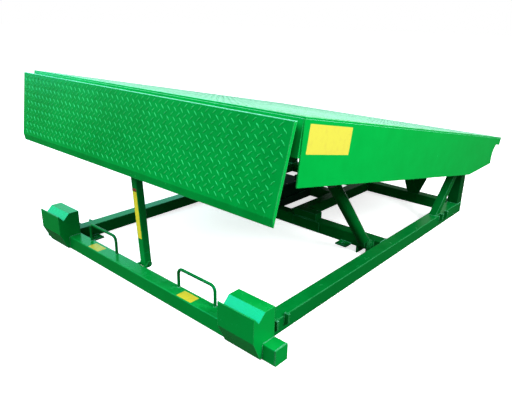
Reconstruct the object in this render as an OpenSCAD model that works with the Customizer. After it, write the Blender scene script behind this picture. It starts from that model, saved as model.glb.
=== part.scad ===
// Dock leveler: a hinged loading ramp with a swinging lip on a welded tube frame.
// Millimetres. X runs to the right seen from the front, Y to the rear, Z up.
// The origin is the middle of the front beam's underside.

/* [Floor frame] */
// Width over the outer faces of the two side rails
base_w = 1640; // [1500:10:1700]
// Rear face of the frame, measured from the middle of the front beam
base_l = 2342; // [2250:2:2400]
// Side of the square frame tubes
tube = 80; // [70:2:86]
// Wall of the frame tubes
tube_wall = 5; // [3:0.5:8]
// Outer radius of the tubes' corners
tube_corner = 5; // [3:0.5:6]
// Thickness of the plates that close the tube ends
cap_t = 5; // [3:0.5:8]
// Length of the front beam
front_beam_l = 1920; // [1860:10:1980]
// Middle of the cross beam, measured from the front beam
cross_y = 1272; // [1220:4:1320]
// Middle of the centre rail, measured from the middle of the leveler
centre_rail_x = 25; // [0:5:60]
// Width of the pedestal on the cross beam, measured from the centre rail
pedestal_w = 185; // [150:5:220]
// Height of the pedestal over the cross beam
pedestal_h = 45; // [30:1:60]
// Thickness of the pedestal's plates
pedestal_t = 6; // [4:0.5:8]
// Length by which the pedestal's front plate runs past it
pedestal_flange = 35; // [20:1:50]

/* [Rear frame] */
// Height of the hinge axis over the top of the rear header
hinge_stand_h = 40; // [36:1:50]
// Distance of the hinge axis in front of the frame's rear face
hinge_back = 12; // [5:1:20]
// Side of the sloping brace tubes
brace = 50; // [40:2:60]
// Foot of each brace, measured forward from the post
brace_run = 361; // [300:1:400]
// Middle of each hinge stand, measured from the middle of the leveler
stand_x = 460; // [400:5:520]
// Foot width of the hinge stands
stand_foot_w = 88; // [70:2:110]
// Top width of the hinge stands
stand_top_w = 190; // [150:5:230]
// Height of the flare of the hinge stands
stand_flare_h = 130; // [100:5:180]
// Thickness of the stand plates
stand_t = 10; // [6:1:14]

/* [Deck] */
// Height of the level deck over the floor
deck_z = 610; // [590:2:640]
// Width of the deck
deck_w = 2000; // [1980:5:2100]
// Thickness of the deck plate
deck_t = 8; // [6:0.5:10]
// Angle by which the deck is raised
raise = 10.6; // [8:0.1:10.8]
// Distance of the level deck's front edge ahead of the front beam's middle
deck_over = 30; // [25:1:36]
// Distance of the deck's rear edge behind the hinge axis
deck_tail = 65; // [55:1:75]
// Depth of the hinge axis below the deck surface
hinge_drop = 35; // [33:0.5:38]
// Depth of the front header below the deck surface
header_d = 150; // [120:2:160]
// Thickness of the front header
header_t = 10; // [8:1:14]
// Depth of the stringers below the deck surface
stringer_d = 108; // [90:2:115]
// Distances of the middle stringers from the middle of the leveler
stringer_mid = [130, 320];
// Distance of the next stringer from the middle of its cylinder
stringer_room = 150; // [120:5:180]
// Distance of the outer stringer from the deck's side edge
stringer_edge = 170; // [150:5:190]
// Width of each stringer
stringer_w = 50; // [40:2:54]
// Wall of the stringers
stringer_wall = 5; // [4:0.5:8]
// Thickness of the plate across the rear ends of the stringers
tail_plate_t = 10; // [6:1:12]
// Gap between that plate and the rear header when the deck is level
tail_gap = 12; // [8:1:20]
// Thickness of the bar under the deck's rear edge
tail_bar_t = 10; // [6:1:14]
// Depth of the bar under the deck's rear edge
tail_bar_d = 54; // [40:1:60]

/* [Side skirts] */
// Depth of the skirts below the deck surface
skirt_d = 258; // [220:2:280]
// Thickness of the skirts
skirt_t = 6; // [4:0.5:8]
// Setback of the skirts' lower front corner
skirt_rake = 17; // [0:1:30]
// Length of the sloping cut, measured from the hinge axis forward
skirt_cut_l = 448; // [400:2:500]
// Depth of the skirts at the rear end of the sloping cut
skirt_rear_d = 186; // [160:2:200]
// Distance of that end ahead of the hinge axis
skirt_rear_s = 48; // [40:1:60]
// Distance of the rear hook ahead of the hinge axis
skirt_hook_s = 16; // [10:1:24]
// Sag of the hollow curve between the cut and the hook
skirt_hollow = 27; // [10:1:34]
// Number of straight steps in the hollow curve
hollow_steps = 8; // [4:1:12]

/* [Deck hinge] */
// Distances of the hinge stations from the middle of the leveler
station_x = [120, 460, 760];
// Outer radius of the hinge lugs
lug_r = 21; // [18:0.5:22]
// Thickness of each lug on the frame
frame_lug_t = 12; // [8:1:16]
// Thickness of each lug on the deck
deck_lug_t = 18; // [10:1:24]
// Gap between neighbouring lugs
lug_gap = 2; // [1:0.5:4]
// Radius of the hinge pins
hinge_pin_r = 10; // [8:0.5:12]
// Length of each pin head beyond its lug
pin_head_t = 6; // [4:1:10]
// Radial clearance of turning pins
pin_fit = 0.08; // [0.05:0.01:0.1]

/* [Lip] */
// Length of the lip below the deck surface when it hangs
lip_l = 410; // [380:2:414]
// Thickness of the lip plate
lip_t = 16; // [12:1:18]
// Height of the bevel at the tip
lip_bevel_h = 35; // [20:1:50]
// Thickness left at the tip
lip_tip_t = 4; // [3:0.5:8]
// Narrowing of each side of the lip down to its tip
lip_taper = 30; // [0:2:60]
// Depth of the lip hinge axis below the deck surface
lip_axis_d = 36; // [34:0.5:40]
// Distance of the lip hinge axis ahead of the deck's front edge
lip_axis_s = 17; // [16:0.5:20]
// Height of the lip plate's upper edge over its hinge axis
lip_back = 18; // [14:0.5:18]
// Outer radius of the hinge knuckles
knuckle_r = 15; // [13:0.5:15]
// Distance between neighbouring lip knuckles
knuckle_pitch = 200; // [160:5:210]
// Height of the webs that carry the knuckles
knuckle_web = 20; // [14:1:24]
// Gap between neighbouring knuckles
knuckle_gap = 2; // [1:0.5:4]
// Radius of the lip hinge pin
lip_pin_r = 9; // [7:0.5:10]
// Setback of the deck plate's front edge, which keeps the lip free
deck_edge_gap = 6; // [6:0.5:10]

/* [Lip keepers] */
// Outer end of each keeper, measured from the middle of the leveler
keeper_x = 888; // [860:2:920]
// Width of each keeper
keeper_w = 210; // [150:5:230]
// Thickness of the keeper plate
keeper_t = 6; // [4:0.5:8]
// Room left round the stored lip
keeper_room = 10; // [8:0.5:14]
// Height of the keepers' front edge over the groove
keeper_lip_h = 33; // [28:1:40]
// Depth of the keepers' upright front below the groove
keeper_front_d = 84; // [60:2:100]
// Height of the keepers' lower edge over the floor
keeper_foot = 8; // [6:1:20]
// Distance of that edge ahead of the front beam
keeper_toe = 14; // [8:1:20]

/* [Lifting handles] */
// Radius of the handle bar
handle_r = 8; // [6:0.5:10]
// Inner leg of each handle, measured from the middle of the leveler
handle_x = 272; // [240:2:300]
// Width between the middles of the handle legs
handle_w = 262; // [200:1:300]
// Height of the handle's upper bar over the beam
handle_h = 106; // [80:2:120]
// Radius of the handle's bends
handle_bend = 30; // [20:1:40]
// Distance of the handles behind the middle of the beam
handle_y = 26; // [20:1:30]

/* [Safety prop] */
// Middle of the prop, measured from the middle of the leveler
prop_x = -66; // [-80:1:-50]
// Side of the prop's square tube
prop_w = 44; // [36:1:48]
// Wall of the prop's tube
prop_wall = 4; // [3:0.5:6]
// Distance from the prop's pin to its upper end
prop_l = 775; // [700:5:785]
// Forward lean of the prop
prop_lean = 3.2; // [0:0.1:4]
// Distance of the prop's pin behind the front beam
prop_pin_back = 36; // [34:1:44]
// Height of the prop's pin
prop_pin_z = 80; // [60:1:90]
// Length of the prop below its pin
prop_foot = 14; // [12:1:15]
// Radius of the prop's pin
prop_pin_r = 8; // [6:0.5:10]
// Thickness of the bracket cheeks
prop_cheek_t = 8; // [6:0.5:12]
// Gap between the prop and each cheek
prop_gap = 2; // [1:0.5:4]

/* [Lift cylinders] */
// Middle of each cylinder, measured from the inner face of its side rail
cyl_rail_gap = 80; // [72:1:90]
// Distance of the foot pin ahead of the cross beam
cyl_foot_reach = 52; // [48:1:60]
// Height of the foot pin over the floor
foot_z = 70; // [62:1:80]
// Distance of the top pin behind the deck's front edge
cyl_top_s = 540; // [530:1:560]
// Depth of the top pin below the deck surface
cyl_top_d = 110; // [100:1:120]
// Outer radius of the barrel
barrel_r = 35; // [34:0.5:38]
// Inner radius of the barrel
barrel_bore_r = 28; // [25:0.5:30]
// Length of the barrel, measured from the foot pin
barrel_l = 670; // [640:5:690]
// Distance from the foot pin to the barrel's closed end
barrel_start = 42; // [40:1:50]
// Thickness of the closed end
barrel_end_t = 20; // [14:1:26]
// Length of the guide at the open end
gland_l = 40; // [25:1:50]
// Radius of the rod
rod_r = 20; // [16:0.5:22]
// Radial clearance of the rod and its piston
rod_fit = 0.3; // [0.2:0.05:0.5]
// Length of the piston
piston_l = 40; // [25:1:50]
// Distance from the rod's eye to the far face of the piston
rod_l = 610; // [590:5:620]
// Outer radius of the eyes
eye_r = 36; // [32:0.5:38]
// Thickness of the eyes
eye_t = 44; // [36:1:46]
// Radius of the cylinder pins
cyl_pin_r = 14; // [12:0.5:16]
// Play of the rod eye round its pin, which takes up the lift's bowed path
eye_play = 8.5; // [8:0.1:9.5]
// Thickness of the cheeks that hold the cylinder pins
cheek_t = 10; // [8:0.5:14]
// Gap between an eye and each cheek
cheek_gap = 6; // [5:0.5:8]
// Radius of the cheeks round the pins
cheek_r = 30; // [26:0.5:34]

/* [Floor fixings] */
// Length of each anchor plate along its rail
anchor_l = 80; // [70:2:100]
// Width of each anchor plate
anchor_w = 67; // [55:1:80]
// Thickness of the anchor plates
anchor_t = 10; // [6:1:14]
// Radius of the anchor holes
anchor_hole_r = 9; // [6:0.5:12]
// Middle of the front pair of anchor plates, measured from the front beam's middle
anchor_front_y = 150; // [110:5:200]
// Middle of the rear pair of anchor plates, measured from the frame's rear face
anchor_rear_back = 352; // [300:2:370]
// Middle of the cross beam's anchor plates, measured from the leveler's middle
cross_anchor_x = 500; // [460:5:510]
// Middle of the front pair of rail lugs, measured from the front beam's middle
rail_lug_front = 155; // [130:5:200]
// Middle of the rear pair of rail lugs, measured from the frame's rear face
rail_lug_back = 362; // [320:2:400]
// Distance between the two lugs of a pair
rail_lug_pitch = 80; // [60:2:100]
// Thickness of the rail lugs
rail_lug_t = 12; // [8:1:16]
// Distance by which the rail lugs stand out from the rail
rail_lug_reach = 25; // [16:1:30]
// Height of the rail lugs
rail_lug_h = 60; // [44:2:70]
// Height of the rail lugs' lower edge over the floor
rail_lug_z = 36; // [20:1:40]

/* [Power unit] */
// Right side of the pump tray, measured from the leveler's middle
tray_right = -210; // [-240:5:-180]
// Width of the pump tray
tray_w = 450; // [400:5:480]
// Length of the pump tray
tray_l = 503; // [470:1:520]
// Height of the tray's rim
tray_h = 60; // [40:2:80]
// Thickness of the tray
tray_t = 4; // [3:0.5:6]
// Width of the oil tank
tank_w = 300; // [240:5:340]
// Length of the oil tank
tank_l = 420; // [360:5:440]
// Height of the oil tank
tank_h = 150; // [120:5:180]
// Wall of the oil tank
tank_t = 6; // [4:0.5:8]
// Distance of the tank from the tray's right and front sides
tank_inset = 10; // [4:1:20]
// Radius of the pump motor
motor_r = 62; // [50:1:75]
// Height of the pump motor
motor_h = 170; // [140:5:200]
// Radius of the motor's flange
motor_flange_r = 76; // [64:1:90]
// Thickness of the motor's flange
motor_flange_t = 14; // [8:1:20]

/* [Hidden] */
$fn = 48;
// Amount by which a cut runs past the face it opens
cut = 1;
rail_in = base_w / 2 - tube;
front_face = -tube / 2;
front_back = tube / 2;
cross_front = cross_y - tube / 2;
cross_back = cross_y + tube / 2;
rear_front = base_l - tube;
hinge_y = base_l - hinge_back;
hinge_z = deck_z - hinge_drop;
head_top = hinge_z - hinge_stand_h;
head_bot = head_top - tube;
deck_reach = hinge_y + deck_over;
deck_end = deck_reach + deck_tail;
skirt_in = deck_w / 2 - skirt_t;
tail_s = rear_front - tail_gap + deck_over;
header_back = deck_edge_gap + header_t;
station_half = deck_lug_t / 2 + lug_gap;
station_out = station_half + frame_lug_t;
lip_face = lip_axis_d;
lip_rear = lip_face - lip_t;
lip_tip = lip_l - lip_axis_d;
knuckle_l = knuckle_pitch / 2 - knuckle_gap;
lip_count = 2 * floor((deck_w / 2 - knuckle_pitch) / knuckle_pitch) + 1;
lip_end = (lip_count - 1) / 2 * knuckle_pitch;
groove_y = -deck_over - lip_axis_s - lip_rear;
groove_z = deck_z - lip_l - keeper_room;
keeper_front = groove_y - lip_t - keeper_room - keeper_t;
keeper_back = front_back - tube_corner;
keeper_top = groove_z + keeper_lip_h;
keeper_slope = keeper_top + keeper_t - groove_z;
prop_pin_y = front_back + prop_pin_back;
prop_half = prop_w / 2 + prop_gap + prop_cheek_t;
cyl_x = rail_in - cyl_rail_gap;
stringer_x = concat(stringer_mid, [cyl_x - stringer_room, deck_w / 2 - stringer_edge]);
foot_y = cross_front - cyl_foot_reach;
eye_neck = eye_r * cos(45);
top_a = cyl_top_s - deck_reach;
top_b = hinge_drop - cyl_top_d;
top_y = hinge_y + top_a * cos(raise) + top_b * sin(raise);
top_z = hinge_z - top_a * sin(raise) + top_b * cos(raise);
cyl_len = norm([top_y - foot_y, top_z - foot_z]);
cyl_lean = atan2(foot_y - top_y, top_z - foot_z);
cheek_in = eye_t / 2 + cheek_gap;
cheek_out = cheek_in + cheek_t;
cyl_pin_l = 2 * (cheek_out + pin_head_t);
tank_x = tray_right - tray_t - tank_inset - tank_w;
tank_y = cross_back + tray_t + tank_inset;

// Unit vector square to the line from a to b
function side(a, b) = [-(b - a)[1], (b - a)[0]] / norm(b - a);
// Corner b of the line a, b, c, moved so that both its sides shift by t
function mitre(a, b, c, t) = b + t * (side(a, b) + side(b, c)) / (1 + side(a, b) * side(b, c));
// Point at t on the curve from a to c that is drawn towards b
function curve(a, b, c, t) = a * (1 - t) * (1 - t) + b * 2 * t * (1 - t) + c * t * t;

// Extrudes a (Y, Z) outline along X, starting at x0
module along_x(x0, w) {
  translate([x0, 0, 0])
    rotate([90, 0, 90])
      linear_extrude(w)
        children();
}

// Round bar along X through (y, z), between x0 and x1
module bar_x(x0, x1, y, z, r) {
  translate([x0, y, z])
    rotate([0, 90, 0])
      cylinder(h = x1 - x0, r = r);
}

module pair() {
  children();
  mirror([1, 0, 0])
    children();
}

// Deck coordinates: Y from the front edge to the rear, Z up from the deck surface
module on_deck() {
  translate([0, hinge_y, hinge_z])
    rotate([-raise, 0, 0])
      translate([0, -deck_reach, hinge_drop])
        children();
}

// Lip coordinates: the lip hinge axis runs through the origin
module on_lip() {
  on_deck()
    translate([0, -lip_axis_s, -lip_axis_d])
      children();
}

// Cylinder coordinates: Z runs from the foot pin to the top pin
module on_cylinder(x) {
  translate([x, foot_y, foot_z])
    rotate([cyl_lean, 0, 0])
      children();
}

// Square with round corners, its lower left corner at the origin
module round_square(w, r) {
  translate([r, 0])
    square([w - 2 * r, w]);
  translate([0, r])
    square([w, w - 2 * r]);
  for (x = [r, w - r], y = [r, w - r])
    translate([x, y])
      circle(r = r);
}

// Outline of a square tube
module tube_outline(w, wall) {
  difference() {
    round_square(w, tube_corner);
    translate([wall, wall])
      square(w - 2 * wall);
  }
}

module tube_x(x0, x1, y0, z0) {
  along_x(x0, x1 - x0)
    translate([y0, z0])
      tube_outline(tube, tube_wall);
}

module tube_y(x0, y0, y1) {
  translate([x0, y1, 0])
    rotate([90, 0, 0])
      linear_extrude(y1 - y0)
        tube_outline(tube, tube_wall);
}

module front_beam() {
  color("seagreen")
    tube_x(-front_beam_l / 2 + cap_t, front_beam_l / 2 - cap_t, front_face, 0);
}

module right_rail() {
  color("seagreen")
    tube_y(rail_in, front_back, base_l - cap_t);
}

module left_rail() {
  mirror([1, 0, 0])
    right_rail();
}

// Box on the cross beam beside the centre rail, with a plate down the beam's front
module pedestal() {
  x0 = centre_rail_x + tube / 2;
  flat = tube - 2 * tube_corner;
  difference() {
    translate([x0, cross_front + tube_corner, tube - tube_wall])
      cube([pedestal_w, flat, tube_wall + pedestal_h]);
    translate([x0 - cut, cross_front + tube_corner + pedestal_t, tube])
      cube([pedestal_w - pedestal_t + cut, flat - 2 * pedestal_t, pedestal_h - pedestal_t]);
  }
  translate([x0, cross_front - pedestal_t, tube_corner])
    cube([pedestal_w + pedestal_flange, pedestal_t + tube_wall, flat]);
}

module cross_beam() {
  color("seagreen") {
    tube_x(-rail_in, rail_in, cross_front, 0);
    pedestal();
  }
}

// Rear beam, and a shorter beam behind the pump tray
module rear_beam() {
  color("seagreen") {
    tube_x(-rail_in, rail_in, rear_front, 0);
    tube_x(-rail_in, centre_rail_x - tube / 2, cross_back + tray_l, 0);
  }
}

module centre_rail() {
  color("seagreen")
    tube_y(centre_rail_x - tube / 2, cross_back, rear_front);
}

module rear_posts() {
  color("seagreen")
    pair()
      translate([rail_in, rear_front, tube])
        linear_extrude(head_bot - tube)
          tube_outline(tube, tube_wall);
}

// The braces rise at 45 degrees from the rails to the posts
module rear_braces() {
  x0 = rail_in + tube / 2 - brace / 2;
  low = [rear_front - brace_run, tube];
  run = brace * sqrt(2);
  inner = tube_wall * sqrt(2);
  color("seagreen")
    pair()
      difference() {
        along_x(x0, brace)
          polygon([low, low + [run, 0], [rear_front, tube + brace_run - run], [rear_front, tube + brace_run]]);
        along_x(x0 + tube_wall, brace - 2 * tube_wall)
          polygon([
            low + [inner - cut, -cut],
            low + [run - inner - cut, -cut],
            [rear_front + cut, tube + brace_run - run + inner + cut],
            [rear_front + cut, tube + brace_run - inner + cut]
          ]);
      }
}

module rear_header() {
  color("seagreen")
    tube_x(-base_w / 2 + cap_t, base_w / 2 - cap_t, rear_front, head_bot);
}

// Plates that close the open tube ends
module tube_caps() {
  color("seagreen")
    pair() {
      along_x(front_beam_l / 2 - cap_t, cap_t)
        translate([front_face, 0])
          round_square(tube, tube_corner);
      along_x(base_w / 2 - cap_t, cap_t)
        translate([rear_front, head_bot])
          round_square(tube, tube_corner);
      translate([rail_in, base_l, 0])
        rotate([90, 0, 0])
          linear_extrude(cap_t)
            round_square(tube, tube_corner);
    }
}

// Flared front plate with a web behind it, from the rear beam up to the header
module hinge_stands() {
  front = rear_front + tube_corner;
  color("seagreen")
    pair() {
      translate([stand_x, front + stand_t, 0])
        rotate([90, 0, 0])
          linear_extrude(stand_t)
            polygon([
              [-stand_foot_w / 2, tube],
              [stand_foot_w / 2, tube],
              [stand_top_w / 2, tube + stand_flare_h],
              [stand_top_w / 2, head_bot],
              [-stand_top_w / 2, head_bot],
              [-stand_top_w / 2, tube + stand_flare_h]
            ]);
      translate([stand_x - stand_t / 2, front + stand_t, tube])
        cube([stand_t, base_l - tube_corner - front - stand_t, head_bot - tube]);
    }
}

// One lug on the frame: a foot on the header and a round end at the pin
module frame_lug(x0) {
  difference() {
    union() {
      bar_x(x0, x0 + frame_lug_t, hinge_y, hinge_z, lug_r);
      translate([x0, hinge_y - lug_r, head_top])
        cube([frame_lug_t, min(2 * lug_r, lug_r + hinge_back), hinge_z - head_top]);
    }
    bar_x(x0 - cut, x0 + frame_lug_t + cut, hinge_y, hinge_z, hinge_pin_r);
  }
}

module frame_lugs() {
  color("seagreen")
    pair()
      for (x = station_x) {
        frame_lug(x + station_half);
        frame_lug(x - station_out);
      }
}

module hinge_pins() {
  color("silver")
    pair()
      for (x = station_x)
        bar_x(x - station_out - pin_head_t, x + station_out + pin_head_t, hinge_y, hinge_z, hinge_pin_r);
}

// Keeper: a plate folded round the front of the beam, with a groove for the lip, and two end plates
module right_keeper() {
  path = [
    [front_face, keeper_foot],
    [front_face - keeper_toe, keeper_foot],
    [keeper_front, groove_z - keeper_front_d],
    [keeper_front, keeper_top],
    [keeper_front + keeper_t, keeper_top],
    [groove_y, groove_z],
    [groove_y + keeper_slope, groove_z + keeper_slope],
    [keeper_back, groove_z + keeper_slope],
    [keeper_back, tube],
    [front_face, tube]
  ];
  inner = [
    [front_face + cut, keeper_foot + keeper_t],
    [front_face - keeper_toe + keeper_t, keeper_foot + keeper_t],
    mitre(path[1], path[2], path[3], -keeper_t),
    [keeper_front + keeper_t, groove_z],
    mitre(path[4], path[5], path[6], -keeper_t),
    mitre(path[5], path[6], path[7], -keeper_t),
    mitre(path[6], path[7], path[8], -keeper_t),
    [keeper_back - keeper_t, tube - cut],
    [front_face + cut, tube - cut]
  ];
  color("seagreen")
    difference() {
      along_x(keeper_x - keeper_w, keeper_w)
        polygon(path);
      along_x(keeper_x - keeper_w + keeper_t, keeper_w - 2 * keeper_t)
        polygon(inner);
    }
}

module left_keeper() {
  mirror([1, 0, 0])
    right_keeper();
}

// Bent round bar: two legs, two bends and an upper bar
module right_handle() {
  x1 = handle_x + handle_w;
  leg = handle_h - handle_bend;
  color("seagreen")
    translate([0, handle_y, tube]) {
      for (x = [handle_x, x1])
        translate([x, 0, 0])
          cylinder(h = leg, r = handle_r);
      bar_x(handle_x + handle_bend, x1 - handle_bend, 0, handle_h, handle_r);
      translate([x1 - handle_bend, 0, leg])
        rotate([90, 0, 0])
          rotate_extrude(angle = 90)
            translate([handle_bend, 0])
              circle(r = handle_r);
      translate([handle_x + handle_bend, 0, leg])
        rotate([90, -90, 0])
          rotate_extrude(angle = 90)
            translate([handle_bend, 0])
              circle(r = handle_r);
    }
}

module left_handle() {
  mirror([1, 0, 0])
    right_handle();
}

// Two cheeks behind the front beam
module prop_bracket() {
  drop = prop_pin_r + prop_cheek_t;
  color("seagreen")
    for (x = [prop_x - prop_half, prop_x + prop_half - prop_cheek_t])
      difference() {
        union() {
          bar_x(x, x + prop_cheek_t, prop_pin_y, prop_pin_z, drop);
          translate([x, front_back, prop_pin_z - drop])
            cube([prop_cheek_t, prop_pin_back, drop]);
        }
        bar_x(x - cut, x + prop_cheek_t + cut, prop_pin_y, prop_pin_z, prop_pin_r);
      }
}

module prop_pin() {
  half = prop_half + pin_head_t;
  color("silver")
    bar_x(prop_x - half, prop_x + half, prop_pin_y, prop_pin_z, prop_pin_r);
}

// Square tube that holds the raised deck, turning on its pin
module prop_strut() {
  color("seagreen")
    translate([prop_x, prop_pin_y, prop_pin_z])
      rotate([prop_lean, 0, 0])
        difference() {
          translate([-prop_w / 2, -prop_w / 2, -prop_foot])
            linear_extrude(prop_l + prop_foot)
              tube_outline(prop_w, prop_wall);
          bar_x(-prop_w / 2 - cut, prop_w / 2 + cut, 0, 0, prop_pin_r + pin_fit);
        }
}

// Pairs of cheeks ahead of the cross beam that carry the cylinders' foot pins
module cylinder_feet() {
  color("seagreen")
    pair()
      for (x0 = [cyl_x - cheek_out, cyl_x + cheek_in])
        difference() {
          union() {
            bar_x(x0, x0 + cheek_t, foot_y, foot_z, cheek_r);
            along_x(x0, cheek_t)
              polygon([
                [cross_front, 0],
                [cross_front, tube - tube_corner],
                [foot_y, foot_z + cheek_r],
                [foot_y - cheek_r, foot_z],
                [foot_y - cheek_r, 0]
              ]);
          }
          bar_x(x0 - cut, x0 + cheek_t + cut, foot_y, foot_z, cyl_pin_r);
        }
}

module foot_pins() {
  color("silver")
    for (x = [-cyl_x, cyl_x])
      bar_x(x - cyl_pin_l / 2, x + cyl_pin_l / 2, foot_y, foot_z, cyl_pin_r);
}

// Plate on the floor with one anchor hole, its lower left corner at (x, y)
module anchor_plate(x, y, w, l) {
  difference() {
    translate([x, y, 0])
      cube([w, l, anchor_t]);
    translate([x + w / 2, y + l / 2, -cut])
      cylinder(h = anchor_t + 2 * cut, r = anchor_hole_r);
  }
}

module anchor_plates() {
  color("seagreen")
    pair() {
      for (y = [anchor_front_y, base_l - anchor_rear_back])
        anchor_plate(rail_in - anchor_w, y - anchor_l / 2, anchor_w, anchor_l);
      anchor_plate(cross_anchor_x - anchor_l / 2, cross_front - anchor_w, anchor_l, anchor_w);
    }
}

// Pairs of upright lugs on the outer sides of the rails, cut off at their lower corner
module rail_lugs() {
  color("seagreen")
    pair()
      for (y = [rail_lug_front, base_l - rail_lug_back], end = [-1, 1])
        translate([base_w / 2, y + (end * rail_lug_pitch + rail_lug_t) / 2, rail_lug_z])
          rotate([90, 0, 0])
            linear_extrude(rail_lug_t)
              polygon([
                [0, 0],
                [rail_lug_reach / 2, 0],
                [rail_lug_reach, rail_lug_reach / 2],
                [rail_lug_reach, rail_lug_h],
                [0, rail_lug_h]
              ]);
}

module pump_tray() {
  color("darkslategray")
    translate([tray_right - tray_w, cross_back, 0])
      difference() {
        cube([tray_w, tray_l, tray_h]);
        translate([tray_t, tray_t, tray_t])
          cube([tray_w - 2 * tray_t, tray_l - 2 * tray_t, tray_h]);
      }
}

// Open box under the pump's mounting plate
module oil_tank() {
  color("dimgray")
    translate([tank_x, tank_y, tray_t])
      difference() {
        cube([tank_w, tank_l, tank_h]);
        translate([tank_t, tank_t, tank_t])
          cube([tank_w - 2 * tank_t, tank_l - 2 * tank_t, tank_h]);
      }
}

// Mounting plate on the tank with the flanged motor on it
module pump_motor() {
  color("dimgray")
    translate([tank_x, tank_y, tray_t + tank_h]) {
      cube([tank_w, tank_l, tank_t]);
      translate([tank_w / 2, tank_l / 2, tank_t]) {
        cylinder(h = motor_flange_t, r = motor_flange_r);
        cylinder(h = motor_flange_t + motor_h, r = motor_r);
      }
    }
}

module deck_plate() {
  color("mediumseagreen")
    on_deck()
      translate([-deck_w / 2, deck_edge_gap, -deck_t])
        cube([deck_w, deck_end - deck_edge_gap, deck_t]);
}

module deck_header() {
  color("seagreen")
    on_deck()
      translate([-skirt_in, deck_edge_gap, -header_d])
        cube([2 * skirt_in, header_t, header_d - deck_t]);
}

// Channels under the deck plate, open towards it
module deck_stringers() {
  l = tail_s - tail_plate_t - header_back;
  h = stringer_d - deck_t;
  color("seagreen")
    on_deck()
      pair()
        for (x = stringer_x)
          difference() {
            translate([x - stringer_w / 2, header_back, -stringer_d])
              cube([stringer_w, l, h]);
            translate([x - stringer_w / 2 + stringer_wall, header_back - cut, -stringer_d + stringer_wall])
              cube([stringer_w - 2 * stringer_wall, l + 2 * cut, h]);
          }
}

// Plate across the stringers' rear ends and a bar under the deck's rear edge
module deck_tail() {
  color("seagreen")
    on_deck() {
      translate([-skirt_in, tail_s - tail_plate_t, -stringer_d])
        cube([2 * skirt_in, tail_plate_t, stringer_d - deck_t]);
      translate([-skirt_in, deck_end - tail_bar_t, -tail_bar_d])
        cube([2 * skirt_in, tail_bar_t, tail_bar_d - deck_t]);
    }
}

module deck_lugs() {
  color("seagreen")
    on_deck()
      pair()
        for (x = station_x)
          difference() {
            union() {
              bar_x(x - deck_lug_t / 2, x + deck_lug_t / 2, deck_reach, -hinge_drop, lug_r);
              translate([x - deck_lug_t / 2, deck_reach - lug_r, -hinge_drop])
                cube([deck_lug_t, 2 * lug_r, hinge_drop - deck_t]);
            }
            bar_x(x - deck_lug_t, x + deck_lug_t, deck_reach, -hinge_drop, hinge_pin_r + pin_fit);
          }
}

// Side skirt with a sloping cut and a hollow curve at its rear end
module right_skirt() {
  low = [deck_reach - skirt_rear_s, -skirt_rear_d];
  hook = [deck_reach - skirt_hook_s, -tail_bar_d];
  mid = (low + hook) / 2 - 2 * skirt_hollow * side(hook, low);
  color("mediumseagreen")
    on_deck()
      along_x(skirt_in, skirt_t)
        polygon(concat(
          [
            [deck_edge_gap, -deck_t],
            [deck_edge_gap + skirt_rake, -skirt_d],
            [deck_reach - skirt_cut_l, -skirt_d]
          ],
          [for (i = [0:hollow_steps]) curve(low, mid, hook, i / hollow_steps)],
          [
            [deck_end - tail_bar_t / 2, -tail_bar_d],
            [deck_end, -deck_t]
          ]
        ));
}

module left_skirt() {
  mirror([1, 0, 0])
    right_skirt();
}

// One hinge knuckle round the lip axis, with a web towards the plate that carries it
module knuckle(x, reach) {
  difference() {
    union() {
      bar_x(x - knuckle_l / 2, x + knuckle_l / 2, 0, 0, knuckle_r);
      translate([x - knuckle_l / 2, min(reach, 0), -knuckle_web / 2])
        cube([knuckle_l, abs(reach), knuckle_web]);
    }
    bar_x(x - knuckle_l, x + knuckle_l, 0, 0, lip_pin_r + pin_fit);
  }
}

module deck_knuckles() {
  color("seagreen")
    on_lip()
      for (x = [-lip_end - knuckle_pitch / 2:knuckle_pitch:lip_end + knuckle_pitch / 2])
        knuckle(x, lip_axis_s + deck_edge_gap);
}

module lip_knuckles() {
  color("seagreen")
    on_lip()
      for (x = [-lip_end:knuckle_pitch:lip_end])
        knuckle(x, -lip_rear);
}

module lip_pin() {
  half = lip_end + (knuckle_pitch + knuckle_l) / 2 + pin_head_t;
  color("silver")
    on_lip()
      bar_x(-half, half, 0, 0, lip_pin_r);
}

// Tread plate of the lip: bevelled on its front at the tip and narrowed on both sides
module lip_plate() {
  half = deck_w / 2;
  color("mediumseagreen")
    on_lip()
      intersection() {
        along_x(-half, deck_w)
          polygon([
            [-lip_face, lip_back],
            [-lip_rear, lip_back],
            [-lip_rear, -lip_tip],
            [-lip_rear - lip_tip_t, -lip_tip],
            [-lip_face, -lip_tip + lip_bevel_h]
          ]);
        rotate([90, 0, 0])
          linear_extrude(2 * lip_face)
            polygon([
              [-half, lip_back],
              [half, lip_back],
              [half - lip_taper, -lip_tip],
              [-half + lip_taper, -lip_tip]
            ]);
      }
}

// Pairs of cheeks under the deck that carry the cylinders' top pins
module cylinder_heads() {
  color("seagreen")
    on_deck()
      pair()
        for (x0 = [cyl_x - cheek_out, cyl_x + cheek_in])
          difference() {
            union() {
              bar_x(x0, x0 + cheek_t, cyl_top_s, -cyl_top_d, cheek_r);
              along_x(x0, cheek_t)
                polygon([
                  [cyl_top_s - 2 * cheek_r, -deck_t],
                  [cyl_top_s - cheek_r, -cyl_top_d],
                  [cyl_top_s + cheek_r, -cyl_top_d],
                  [cyl_top_s + 2 * cheek_r, -deck_t]
                ]);
            }
            bar_x(x0 - cut, x0 + cheek_t + cut, cyl_top_s, -cyl_top_d, cyl_pin_r);
          }
}

module head_pins() {
  color("silver")
    on_deck()
      for (x = [-cyl_x, cyl_x])
        bar_x(x - cyl_pin_l / 2, x + cyl_pin_l / 2, cyl_top_s, -cyl_top_d, cyl_pin_r);
}

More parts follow.
